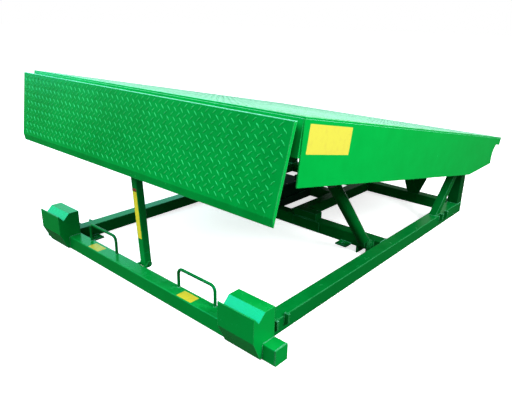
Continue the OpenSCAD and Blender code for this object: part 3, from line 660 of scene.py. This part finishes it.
def grow(group, base_mesh, **values):
    base = bpy.data.objects.new("base", base_mesh)
    scene.collection.objects.link(base)
    modifier = base.modifiers.new(group.name, "NODES")
    modifier.node_group = group
    for item in group.interface.items_tree:
        if item.in_out == "INPUT" and item.name in values:
            modifier[item.identifier] = values[item.name]
    graph = bpy.context.evaluated_depsgraph_get()
    mesh = bpy.data.meshes.new_from_object(base.evaluated_get(graph))
    base.modifiers.remove(modifier)
    bpy.data.objects.remove(base)
    return mesh


def pattern(name, points, faces):
    """A small mesh object that a node group copies. It is removed once the copies exist."""
    thing = bpy.data.objects.new(name, as_mesh(name, points, faces))
    scene.collection.objects.link(thing)
    return thing


print("geometry node helpers ready")

# %% [markdown]
# ## Tread bars
#
# Tread plate carries short raised lenses. Columns that lean left and right take turns, and
# every second column is shifted by half a step. One lens is drawn, rounder for the lip,
# which is seen from near. A grid of points carries the copies, and points outside the tapering
# edge of the lip are dropped.

# %% Tread bars on the lip and the deck
BAR_L, BAR_W, BAR_H = 0.029, 0.0065, 0.0020
SHOULDER = 0.62
TREAD_STEP = 0.021
EVEN = 1000.0


def lens(levels):
    """A lens in plan, built up in levels of length, width and height as shares of a bar's own."""
    near, far = SHOULDER, -SHOULDER
    plan = ((1.0, 0.0), (near, near), (0.0, 1.0), (far, near),
            (-1.0, 0.0), (far, far), (0.0, -1.0), (near, far))
    rings = [[(x * BAR_L / 2 * long, y * BAR_W / 2 * wide, BAR_H * high) for x, y in plan]
             for long, wide, high in levels]
    points, faces = loft(rings, closed=False)
    faces.append(tuple(range(len(points) - len(plan), len(points))))
    return points, faces


tread, given = group_start("tread_field", Geometry="Geometry", Step="Float", Half="Float", Taper="Float",
                           Bar="Object", Seed="Int", Material="Material")
spot = given["Step"].make("GeometryNodeInputPosition")
column = spot.axis(0) / given["Step"] + EVEN
odd = column.math("MODULO", column.math("ROUND", column), 2.0)
angle = (odd - 0.5) * (math.pi / 2)
past = spot.axis(0).size() - given["Half"] - spot.axis(1) * given["Taper"]
outside = past.math("GREATER_THAN", past, 0.0)
kept = spot.make("GeometryNodeDeleteGeometry", {"domain": "POINT"}, Geometry=given["Geometry"],
                 Selection=outside)
vary = spot.make("FunctionNodeRandomValue", {"data_type": "FLOAT"}, out=1, i2=0.92, i3=1.08,
                 Seed=given["Seed"])
turned = spot.make("FunctionNodeEulerToRotation", Euler=spot.make("ShaderNodeCombineXYZ", Z=angle))
bars = spot.make("GeometryNodeInstanceOnPoints", Points=kept, Rotation=turned, Scale=vary,
                 Instance=spot.make("GeometryNodeObjectInfo", out=4, Object=given["Bar"]))
group_end(tread, bars, given["Material"])


def point_grid(half_x, low, high):
    """Loose points like the black squares of a chess board, x from the middle, y from low to high."""
    columns = int(half_x / TREAD_STEP)
    rows = int((high - low) / TREAD_STEP)
    return as_mesh("grid", [(column * TREAD_STEP, low + row * TREAD_STEP, 0.0) for row in range(rows + 1)
                            for column in range(-columns, columns + 1) if (row + column) % 2 == 0], [])


LIP_FACE = -0.036
LIP_TOP, LIP_BEVEL, LIP_TIP = 0.018, -0.339, -0.374
LIP_NARROWS = 0.030
LIP_TAPER = LIP_NARROWS / (LIP_TOP - LIP_TIP)
LIP_HALF, LIP_ROWS = 0.975, (LIP_BEVEL + 0.022, LIP_TOP - 0.016)
DECK_HALF, DECK_ROWS = 0.965, (0.036, 2.390)
FLAT_BAR = ((1.0, 1.0, 0.0), (0.80, 0.44, 1.0))
ROUND_BAR = ((1.0, 1.0, 0.0), (0.93, 0.80, 0.50), (0.80, 0.50, 0.85), (0.55, 0.15, 1.0))
bar, round_bar = pattern("bar", *lens(FLAT_BAR)), pattern("round_bar", *lens(ROUND_BAR))
lip_field = grow(tread, point_grid(LIP_HALF, *LIP_ROWS), Step=TREAD_STEP, Half=LIP_HALF,
                 Taper=LIP_TAPER, Bar=round_bar, Seed=3, Material=green_bar)
deck_field = grow(tread, point_grid(DECK_HALF, *DECK_ROWS), Step=TREAD_STEP, Half=DECK_HALF,
                  Taper=0.0, Bar=bar, Seed=5, Material=green_deck_bar_sheen)
bpy.data.objects.remove(bar)
bpy.data.objects.remove(round_bar)
UPRIGHT = Matrix.Translation((0, LIP_FACE, 0)) @ Matrix.Rotation(math.pi / 2, 4, "X")
keep("lip_tread", lip_field, "lip", green_bar, LIP @ UPRIGHT, smooth=True)
keep("deck_tread", deck_field, "deck", green_deck_bar_sheen, DECK)

# %% [markdown]
# ## Weld beads
#
# The leveler is welded, and a bead is a row of small ripples. The seams are drawn as lines
# where pieces meet, mostly taken from the CAD boxes. The node group turns each line into a
# tube whose radius swells and shrinks with every ripple.

# %% A node group for beads, and ways to draw seams
bead, given = group_start("weld_bead", Geometry="Geometry", Radius="Float", Step="Float", Seed="Int",
                          Material="Material")
line = given["Geometry"].make("GeometryNodeMeshToCurve", Mesh=given["Geometry"])
line = line.make("GeometryNodeResampleCurve", {"mode": "LENGTH"}, Curve=line, Length=given["Step"])
ripple = line.make("FunctionNodeRandomValue", {"data_type": "FLOAT"}, out=1, i2=0.70, i3=1.10,
                   Seed=given["Seed"])
round_line = line.make("GeometryNodeCurvePrimitiveCircle", Resolution=6, Radius=given["Radius"])
tube = line.make("GeometryNodeCurveToMesh", Curve=line, Profile_Curve=round_line, Scale=ripple,
                 Fill_Caps=True)
group_end(bead, tube, given["Material"])

FLOOR_GAP = 0.006
CORNER = 0.005
WELD_R, WELD_STEP = 0.0030, 0.003


def arch(axis, at, start, end, high, low=FLOOR_GAP):
    """A seam up one side of a tube, over its rounded top and down the other side."""
    cut = 0.3 * CORNER
    half = [(start, low), (start, high - CORNER), (start + cut, high - cut), (start + CORNER, high)]
    other = [(start + end - u, z) for u, z in reversed(half)]
    return [(at, u, z) if axis == "x" else (u, at, z) for u, z in half + other]


def ring_seam(x0, x1, y0, y1, z):
    """A seam round the foot of a tube that stands on a face."""
    ring = round_rectangle((x1 - x0) / 2, (y1 - y0) / 2, CORNER, z, 3)
    ring = [(x + (x0 + x1) / 2, y + (y0 + y1) / 2, z) for x, y, z in ring]
    return ring + ring[:1]


def seams_mesh(seams):
    """All seams of a body as the edges of one mesh."""
    points, edges = [], []
    for seam in seams:
        start = len(points)
        points.extend(seam)
        edges.extend((start + n, start + n + 1) for n in range(len(seam) - 1))
    return as_mesh("seams", points, [], edges)


def mirrored(seams):
    return seams + [[(-x, y, z) for x, y, z in seam] for seam in seams]


print("seam helpers ready")

# %% [markdown]
# The frame's seams run round every tube that meets another one, round the feet of the
# handles, and along the brackets. A bracket's inner side stays free for what turns in it.

# %% Seams of the tubes
TUBE = box["front_beam"][1].z
BEAM_BACK = box["front_beam"][1].y
BEAM_END = box["front_beam"][1].x
rail_lo, rail_hi = box["right_rail"]
cross_hi = box["cross_beam"][1]
CROSS_FRONT = cross_hi.y - TUBE
rear_hi = box["rear_beam"][1]
REAR_FRONT = rear_hi.y - TUBE
TRAY_BEAM = box["rear_beam"][0].y
mid_lo, mid_hi = box["centre_rail"]
post_lo, post_hi = box["rear_posts"]
brace_lo, brace_hi = box["rear_braces"]
BRACE_W = 0.050
BRACE_CUT = BRACE_W * math.sqrt(2)
brace_x = (brace_hi.x - BRACE_W, brace_hi.x)
brace_z = (brace_hi.z - BRACE_CUT, brace_hi.z)
side_seams = [
    arch("x", BEAM_END, -BEAM_BACK, BEAM_BACK, TUBE),
    arch("y", BEAM_BACK, rail_lo.x, rail_hi.x, TUBE),
    arch("x", rail_lo.x, CROSS_FRONT, cross_hi.y, TUBE),
    arch("x", rail_lo.x, REAR_FRONT, rear_hi.y, TUBE),
    ring_seam(rail_lo.x, rail_hi.x, post_lo.y, post_hi.y, TUBE),
    ring_seam(rail_lo.x, rail_hi.x, post_lo.y, post_hi.y, post_hi.z),
    ring_seam(*brace_x, brace_lo.y, brace_lo.y + BRACE_CUT, TUBE),
    [(brace_x[u], post_lo.y, brace_z[v]) for u, v in ((0, 1), (1, 1), (1, 0), (0, 0), (0, 1))],
]
print("tube seams on one side", len(side_seams))

# %% Seams of the keepers, handles, brackets and lugs
keeper_lo, keeper_hi = box["right_keeper"]
KEEPER_GAP = FLOOR_GAP + 0.004
for end in (keeper_lo.x, keeper_hi.x):
    side_seams.append([(end, -BEAM_BACK, KEEPER_GAP), (end, -BEAM_BACK, TUBE - CORNER)])
    side_seams.append([(end, -BEAM_BACK + CORNER, TUBE), (end, keeper_hi.y, TUBE)])
side_seams.append([(keeper_lo.x, keeper_hi.y, TUBE), (keeper_hi.x, keeper_hi.y, TUBE)])

handle_lo, handle_hi = box["right_handle"]
LEG = (handle_hi.y - handle_lo.y) / 2
for leg in (handle_lo.x + LEG, handle_hi.x - LEG):
    foot = circle(LEG, TUBE, 10)
    side_seams.append([(leg + x, handle_lo.y + LEG + y, z) for x, y, z in foot + foot[:1]])

feet_hi = box["cylinder_feet"][1]
feet_x = (2 * CYL_X - feet_hi.x, feet_hi.x)
for end in feet_x:
    side_seams.append([(end, CROSS_FRONT, FLOOR_GAP), (end, CROSS_FRONT, TUBE - CORNER)])

plate_lo, plate_hi = box["anchor_plates"]
ANCHOR_L = 0.080
for y in (plate_lo.y, plate_hi.y - ANCHOR_L):
    side_seams.append([(rail_lo.x, y, plate_hi.z), (rail_lo.x, y + ANCHOR_L, plate_hi.z)])
CROSS_ANCHOR = 0.500
side_seams.append([(CROSS_ANCHOR - ANCHOR_L / 2, CROSS_FRONT, plate_hi.z),
                   (CROSS_ANCHOR + ANCHOR_L / 2, CROSS_FRONT, plate_hi.z)])

lug_lo, lug_hi = box["rail_lugs"]
LUG_T, LUG_PITCH = 0.012, 0.080
for first in (lug_lo.y, lug_hi.y - LUG_PITCH - LUG_T):
    for y in (first, first + LUG_T, first + LUG_PITCH, first + LUG_PITCH + LUG_T):
        side_seams.append([(rail_hi.x, y, lug_lo.z), (rail_hi.x, y, TUBE - CORNER)])

print("all seams on one side", len(side_seams))

# %% Weld beads on the frame
frame_seams = mirrored(side_seams)
frame_seams.append(arch("y", cross_hi.y, mid_lo.x, mid_hi.x, TUBE))
frame_seams.append(arch("y", REAR_FRONT, mid_lo.x, mid_hi.x, TUBE))
for x in (-rail_lo.x, mid_lo.x):
    frame_seams.append(arch("x", x, TRAY_BEAM, TRAY_BEAM + TUBE, TUBE))
bracket_lo, bracket_hi = box["prop_bracket"]
for end in (bracket_lo.x, bracket_hi.x):
    frame_seams.append([(end, BEAM_BACK, bracket_lo.z + WELD_R), (end, BEAM_BACK, TUBE - CORNER)])
frame_welds = grow(bead, seams_mesh(frame_seams), Radius=WELD_R, Step=WELD_STEP, Seed=11, Material=green_low)
keep("frame_welds", frame_welds, "frame", green_low, smooth=True)

# %% [markdown]
# ## Rail lugs
#
# Pairs of upright lugs sit on the outer sides of the rails. They stand for the CAD lugs: their
# edges are chamfered, and those of the left rail end level with its top.

# %% Rail lugs with chamfered edges
ON_FRONT = Matrix.Rotation(math.pi / 2, 4, "X")
LUG_CHAMFER = 0.0012


def lug_shape(side, height):
    """A lug that reaches out to one side, cut off at its lower corner, with its thickness along z."""
    reach = lug_hi.x - rail_hi.x
    outline = [(0.0, 0.0), (reach / 2, 0.0), (reach, reach / 2), (reach, height), (0.0, height)]
    middle = Vector((reach / 2, height / 2))
    shares = ((0.0, LUG_CHAMFER), (LUG_CHAMFER, 0.0), (LUG_T - LUG_CHAMFER, 0.0), (LUG_T, LUG_CHAMFER))
    rings = []
    for z, inset in shares:
        ring = [(side * (x + math.copysign(inset, middle.x - x)), y + math.copysign(inset, middle.y - y), z)
                for x, y in outline]
        rings.append(ring[::side])
    return loft(rings)


lug_parts = []
for side, top in ((1, lug_hi.z), (-1, TUBE)):
    for first in (lug_lo.y, lug_hi.y - LUG_PITCH - LUG_T):
        for y in (first + LUG_T, first + LUG_PITCH + LUG_T):
            at = Matrix.Translation((side * rail_hi.x, y, lug_lo.z)) @ ON_FRONT
            lug_parts.append((lug_shape(side, top - lug_lo.z), at))
lugs = keep("rail_lug_plates", join("lugs", lug_parts), "frame", green_low)
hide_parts("rail_lugs")

# %% [markdown]
# Under the deck, short stitches hold the stringers to the plate, and full seams run where
# they meet the header and the tail. The lip's knuckles have a seam above and below.

# %% Weld beads on the deck and the lip
STRINGERS = (0.130, 0.320, 0.510, 0.830)
STRINGER_W = 0.050
STRINGER_D = 0.108
HEADER_BACK, TAIL_FRONT = 0.016, 2.270
PLATE = 0.008
STITCH, STITCH_STEP = 0.060, 0.280
CHEEK_HALF = 0.060
DECK_WELD_STEP = 0.004
deck_seams = []
for middle in STRINGERS:
    for edge in (middle - STRINGER_W / 2, middle + STRINGER_W / 2):
        deck_seams.append([(edge, HEADER_BACK, -PLATE), (edge, HEADER_BACK, -STRINGER_D)])
        deck_seams.append([(edge, TAIL_FRONT, -PLATE), (edge, TAIL_FRONT, -STRINGER_D)])
        start = HEADER_BACK + STITCH
        while start < TAIL_FRONT - STITCH:
            deck_seams.append([(edge, start, -PLATE), (edge, start + STITCH, -PLATE)])
            start += STITCH_STEP
for end in feet_x:
    deck_seams.append([(end, CYL_TOP[0] - CHEEK_HALF, -PLATE), (end, CYL_TOP[0] + CHEEK_HALF, -PLATE)])
deck_welds = grow(bead, seams_mesh(mirrored(deck_seams)), Radius=WELD_R, Step=DECK_WELD_STEP, Seed=12,
                  Material=green_inner)
keep("deck_welds", deck_welds, "deck", green_inner, DECK, smooth=True)

KNUCKLE_STEP, KNUCKLE_L, KNUCKLE_WEB = 0.200, 0.098, 0.010
LIP_REAR = -0.020
LIP_WELD_R = 0.002
lip_seams = []
for number in range(-4, 5):
    left = number * KNUCKLE_STEP - KNUCKLE_L / 2
    for z in (-KNUCKLE_WEB, KNUCKLE_WEB):
        lip_seams.append([(left, LIP_REAR, z), (left + KNUCKLE_L, LIP_REAR, z)])
lip_welds = grow(bead, seams_mesh(lip_seams), Radius=LIP_WELD_R, Step=WELD_STEP, Seed=13, Material=green)
keep("lip_welds", lip_welds, "lip", green, LIP, smooth=True)

# %% [markdown]
# ## Bolts
#
# One bolt is drawn as a washer, a hexagon with a turned crown, and a stub of thread. A mesh
# of loose points says where the bolts sit; its attributes say which way each one points
# and how large it is. They hold the tank's lid and the motor's flange.

# %% Bolts on the pump
def bolt_shape():
    """A bolt of unit washer radius that points along z."""
    washer_part = [circle(1.0, 0.0), circle(1.0, 0.12), circle(0.94, 0.16)]
    head = [hexagon(0.72, 0.16), hexagon(0.72, 0.62), circle(0.60, 0.72)]
    stub = [circle(0.30, 0.72), circle(0.27, 0.74), circle(0.27, 0.95), circle(0.22, 1.0)]
    return loft(washer_part + head + stub)


bolts, given = group_start("bolt_set", Geometry="Geometry", Bolt="Object", Seed="Int", Material="Material")
sets = given["Geometry"]
aim = sets.make("GeometryNodeInputNamedAttribute", {"data_type": "FLOAT_VECTOR"}, Name="aim")
wide = sets.make("GeometryNodeInputNamedAttribute", {"data_type": "FLOAT"}, Name="wide")
spin = sets.make("FunctionNodeRandomValue", {"data_type": "FLOAT"}, out=1, i2=0.0, i3=1.05,
                 Seed=given["Seed"])
own = sets.make("FunctionNodeEulerToRotation", Euler=sets.make("ShaderNodeCombineXYZ", Z=spin))
facing = sets.make("FunctionNodeAlignRotationToVector", {"axis": "Z"}, Vector=aim)
facing = sets.make("FunctionNodeRotateRotation", {"rotation_space": "LOCAL"}, i0=facing, i1=own)
copies = sets.make("GeometryNodeInstanceOnPoints", Points=sets, Rotation=facing, Scale=wide,
                   Instance=sets.make("GeometryNodeObjectInfo", out=4, Object=given["Bolt"]))
group_end(bolts, copies, given["Material"])

LID_BOLT, FLANGE_BOLT = 0.006, 0.0065
LID_T, FLANGE_T = 0.006, 0.014
BOLT_CIRCLE = 0.069
LID_IN = 0.012
LID_ROW = 5
UP = (0, 0, 1)

motor_lo, motor_hi = box["pump_motor"]
MOTOR_X, MOTOR_Y = (motor_lo.x + motor_hi.x) / 2, (motor_lo.y + motor_hi.y) / 2
LID_TOP = motor_lo.z + LID_T
FLANGE_TOP = LID_TOP + FLANGE_T
spots = [((MOTOR_X + x, MOTOR_Y + y, FLANGE_TOP), UP, FLANGE_BOLT) for x, y, _ in circle(BOLT_CIRCLE, 0.0, 6)]
for x in (motor_lo.x + LID_IN, motor_hi.x - LID_IN):
    for part in range(LID_ROW):
        y = motor_lo.y + LID_IN + part / (LID_ROW - 1) * (motor_hi.y - motor_lo.y - 2 * LID_IN)
        spots.append(((x, y, LID_TOP), UP, LID_BOLT))

bolt_points = as_mesh("spots", [place for place, _, _ in spots], [])
ways = [value for _, way, _ in spots for value in way]
bolt_points.attributes.new("aim", "FLOAT_VECTOR", "POINT").data.foreach_set("vector", ways)
sizes = [size for _, _, size in spots]
bolt_points.attributes.new("wide", "FLOAT", "POINT").data.foreach_set("value", sizes)
bolt = pattern("bolt", *bolt_shape())
pump_bolts = grow(bolts, bolt_points, Bolt=bolt, Seed=7, Material=zinc)
bpy.data.objects.remove(bolt)
keep("pump_bolts", pump_bolts, "frame", zinc)

# %% [markdown]
# ## The pump's outside
#
# The CAD motor is a plain cylinder on a tank. Here it gets a finned jacket, a fan cowl, a
# terminal box and a filler cap with a knurled rim.

# %% Jacket and cowl
MOTOR_R = 0.062
JACKET_LOW, JACKET_TOP = FLANGE_TOP + 0.010, motor_hi.z - 0.046
COWL_LOW, COWL_TOP = JACKET_TOP + 0.002, motor_hi.z + 0.006
FINS = 28
FIN_RISE = 0.004
ROUND = 40
ON_MOTOR = Matrix.Translation((MOTOR_X, MOTOR_Y, 0))
fin_foot, fin_top = MOTOR_R + 0.0004, MOTOR_R + 0.007
fin_start = fin_foot + 0.0005
fin_rings = ((fin_start, JACKET_LOW), (fin_top, JACKET_LOW + FIN_RISE),
             (fin_top, JACKET_TOP - FIN_RISE), (fin_start, JACKET_TOP))
jacket = loft([gear(fin_foot, outer, z, FINS) for outer, z in fin_rings], closed=False)
cowl = lathe([(fin_foot, COWL_LOW), (fin_top, COWL_LOW + 0.002), (fin_top, COWL_TOP - 0.010),
              (fin_top - 0.006, COWL_TOP - 0.002), (0.044, COWL_TOP), (0.042, COWL_TOP - 0.003),
              (0.016, COWL_TOP - 0.003), (0.014, COWL_TOP)], ROUND)
keep("motor_jacket", join("jacket", [(jacket, ON_MOTOR), (cowl, ON_MOTOR)]), "frame", dark)

# %% Terminal box and filler cap
TERMINAL = (0.036, 0.044)
TERMINAL_SINK = 0.004
# Each step of the terminal box: how far it stands out, its corner radius and its height.
TERMINAL_STEPS = ((0.0, 0.005, 0.0), (0.0, 0.005, 0.030), (0.002, 0.006, 0.031), (0.002, 0.006, 0.036),
                  (-0.002, 0.005, 0.039))
terminal = loft([round_rectangle(TERMINAL[0] + out, TERMINAL[1] + out, corner, z)
                 for out, corner, z in TERMINAL_STEPS])
JACKET_MIDDLE = (JACKET_LOW + JACKET_TOP) / 2
on_side = Matrix.Translation((MOTOR_X, MOTOR_Y - MOTOR_R + TERMINAL_SINK, JACKET_MIDDLE)) @ ON_FRONT
CAP_IN = 0.042
KNURLS = 20
# Each ring of the filler cap: its inner and outer radius and its height.
CAP_RINGS = ((0.018, 0.019, 0.0), (0.018, 0.019, 0.010), (0.021, 0.023, 0.011), (0.021, 0.023, 0.026),
             (0.019, 0.019, 0.029), (0.006, 0.006, 0.030))
cap = loft([gear(*ring, KNURLS) for ring in CAP_RINGS])
on_lid = Matrix.Translation((motor_hi.x - CAP_IN, motor_hi.y - CAP_IN, LID_TOP))
fittings = join("fittings", [(terminal, on_side), (cap, on_lid)])
keep("pump_fittings", fittings, "frame", dark)

# %% [markdown]
# ## Cylinder fittings and pin washers
#
# Each barrel ends in a gland nut round the rod, and has a hose port near its foot and a
# breather near its top. Every cylinder pin has a washer at each end.

# %% Glands, ports and washers
BARREL_R, BARREL_L, ROD_R = 0.035, 0.670, 0.020
PORT_AT, BREATHER_AT = 0.130, 0.600
ALONG_Y = Matrix.Rotation(-math.pi / 2, 4, "X")
GLAND_R = BARREL_R + 0.003
gland = lathe([(BARREL_R, BARREL_L - 0.034), (GLAND_R, BARREL_L - 0.032), (GLAND_R, BARREL_L - 0.002),
               (BARREL_R, BARREL_L + 0.001), (0.029, BARREL_L + 0.001), (0.027, BARREL_L + 0.006),
               (ROD_R + 0.002, BARREL_L + 0.006), (ROD_R + 0.001, BARREL_L - 0.001)], ROUND, closed=False)


def on_barrel(steps):
    """A fitting on the barrel's skin. Each step is a ring, its radius and its height over the skin."""
    return loft([ring(radius, BARREL_R + rise) for ring, radius, rise in steps])


port = on_barrel([(circle, 0.014, -0.004), (circle, 0.014, 0.006), (hexagon, 0.012, 0.006),
                  (hexagon, 0.012, 0.018), (circle, 0.009, 0.020), (circle, 0.009, 0.030),
                  (circle, 0.006, 0.031)])
breather = on_barrel([(circle, 0.010, -0.002), (circle, 0.010, 0.004), (hexagon, 0.009, 0.004),
                      (hexagon, 0.009, 0.010), (circle, 0.006, 0.014)])
for side, hand in ((-1, "left"), (1, "right")):
    here = cylinder_frame(side)
    keep(hand + "_gland", as_mesh("gland", *gland), hand + "_barrel", steel, here)
    inward = Matrix.Rotation(side * math.pi / 4, 4, "Z") @ ALONG_Y
    ports = join("ports", [(port, Matrix.Translation((0, 0, PORT_AT)) @ inward),
                           (breather, Matrix.Translation((0, 0, BREATHER_AT)) @ inward)])
    keep(hand + "_ports", ports, hand + "_barrel", zinc, here)


WASHER_T, WASHER_EDGE, WASHER_PLAY = 0.0035, 0.0005, 0.0003


def washer(hole, rim):
    flat, bore = rim - WASHER_EDGE, hole + WASHER_PLAY
    return lathe([(flat, 0.0), (rim, WASHER_EDGE), (rim, WASHER_T - WASHER_EDGE), (flat, WASHER_T),
                  (bore, WASHER_T), (bore, 0.0)], closed=False)


def washers_on(middle, half, hole, rim):
    """Washers at both ends of a pin along x, as shapes with their places."""
    ring = washer(hole, rim)
    return [(ring, Matrix.Translation((middle[0] + end * half, middle[1], middle[2]))
             @ Matrix.Rotation(end * math.pi / 2, 4, "Y")) for end in (-1, 1)]


PROP_CHEEK, PROP_PIN_R, PROP_RIM = 0.032, 0.008, 0.0135
CYL_CHEEK, CYL_PIN_R, CYL_RIM = 0.038, 0.014, 0.024
frame_rings = washers_on((PROP_X, *PROP_PIN), PROP_CHEEK, PROP_PIN_R, PROP_RIM)
deck_rings = []
for side in (-1, 1):
    frame_rings += washers_on((side * CYL_X, *CYL_FOOT), CYL_CHEEK, CYL_PIN_R, CYL_RIM)
    deck_rings += washers_on((side * CYL_X, *CYL_TOP), CYL_CHEEK, CYL_PIN_R, CYL_RIM)
keep("frame_washers", join("rings", frame_rings), "frame", green_inner)
keep("deck_washers", join("rings", deck_rings), "deck", green_inner, DECK)

# %% [markdown]
# ## Stickers
#
# Plain yellow vinyl marks what people should see: two stickers on the front beam beside the
# handles, and a strip with a red-brown end on the prop. The large one on the skirt is part of
# the skirt's paint. A sticker is a thin sheet, so it is lofted from three rings that lie close
# together.

# %% Plain stickers
VINYL = 0.0006
VINYL_CORNER, VINYL_EDGE = 0.004, 0.001


def sticker(name, half_x, half_y, body, material, place):
    """A thin sheet with round corners that lies on a face and is a little crowned."""
    rings = [round_rectangle(half_x - inset, half_y - inset, VINYL_CORNER - inset, z)
             for inset, z in ((0.0, 0.0), (0.0, VINYL * 0.6), (VINYL_EDGE, VINYL))]
    keep(name, as_mesh(name, *loft(rings)), body, material, place)


BEAM_STICKER = (0.052, 0.028)
BEAM_STICKER_X, BEAM_STICKER_Y = (-0.425, 0.375), -0.006
for number, x in enumerate(BEAM_STICKER_X):
    on_beam = Matrix.Translation((x, BEAM_STICKER_Y, TUBE))
    sticker(f"beam_sticker_{number}", *BEAM_STICKER, "frame", beam_yellow, on_beam)

PROP_HALF = 0.022
STRIP = (0.155, 0.425)
STRIP_HALF = 0.0165
BAND_HALF, BAND_GAP = 0.008, 0.003
ON_FACE = PROP @ Matrix.Translation((0, -PROP_HALF, 0)) @ ON_FRONT
sticker("prop_strip", STRIP_HALF, (STRIP[1] - STRIP[0]) / 2, "prop", yellow,
        ON_FACE @ Matrix.Translation((0, (STRIP[0] + STRIP[1]) / 2, 0)))
sticker("prop_band", STRIP_HALF, BAND_HALF, "prop", rust_red,
        ON_FACE @ Matrix.Translation((0, STRIP[1] + BAND_HALF + BAND_GAP, 0)))

# %% [markdown]
# ## The end

# %% End
print("script done")
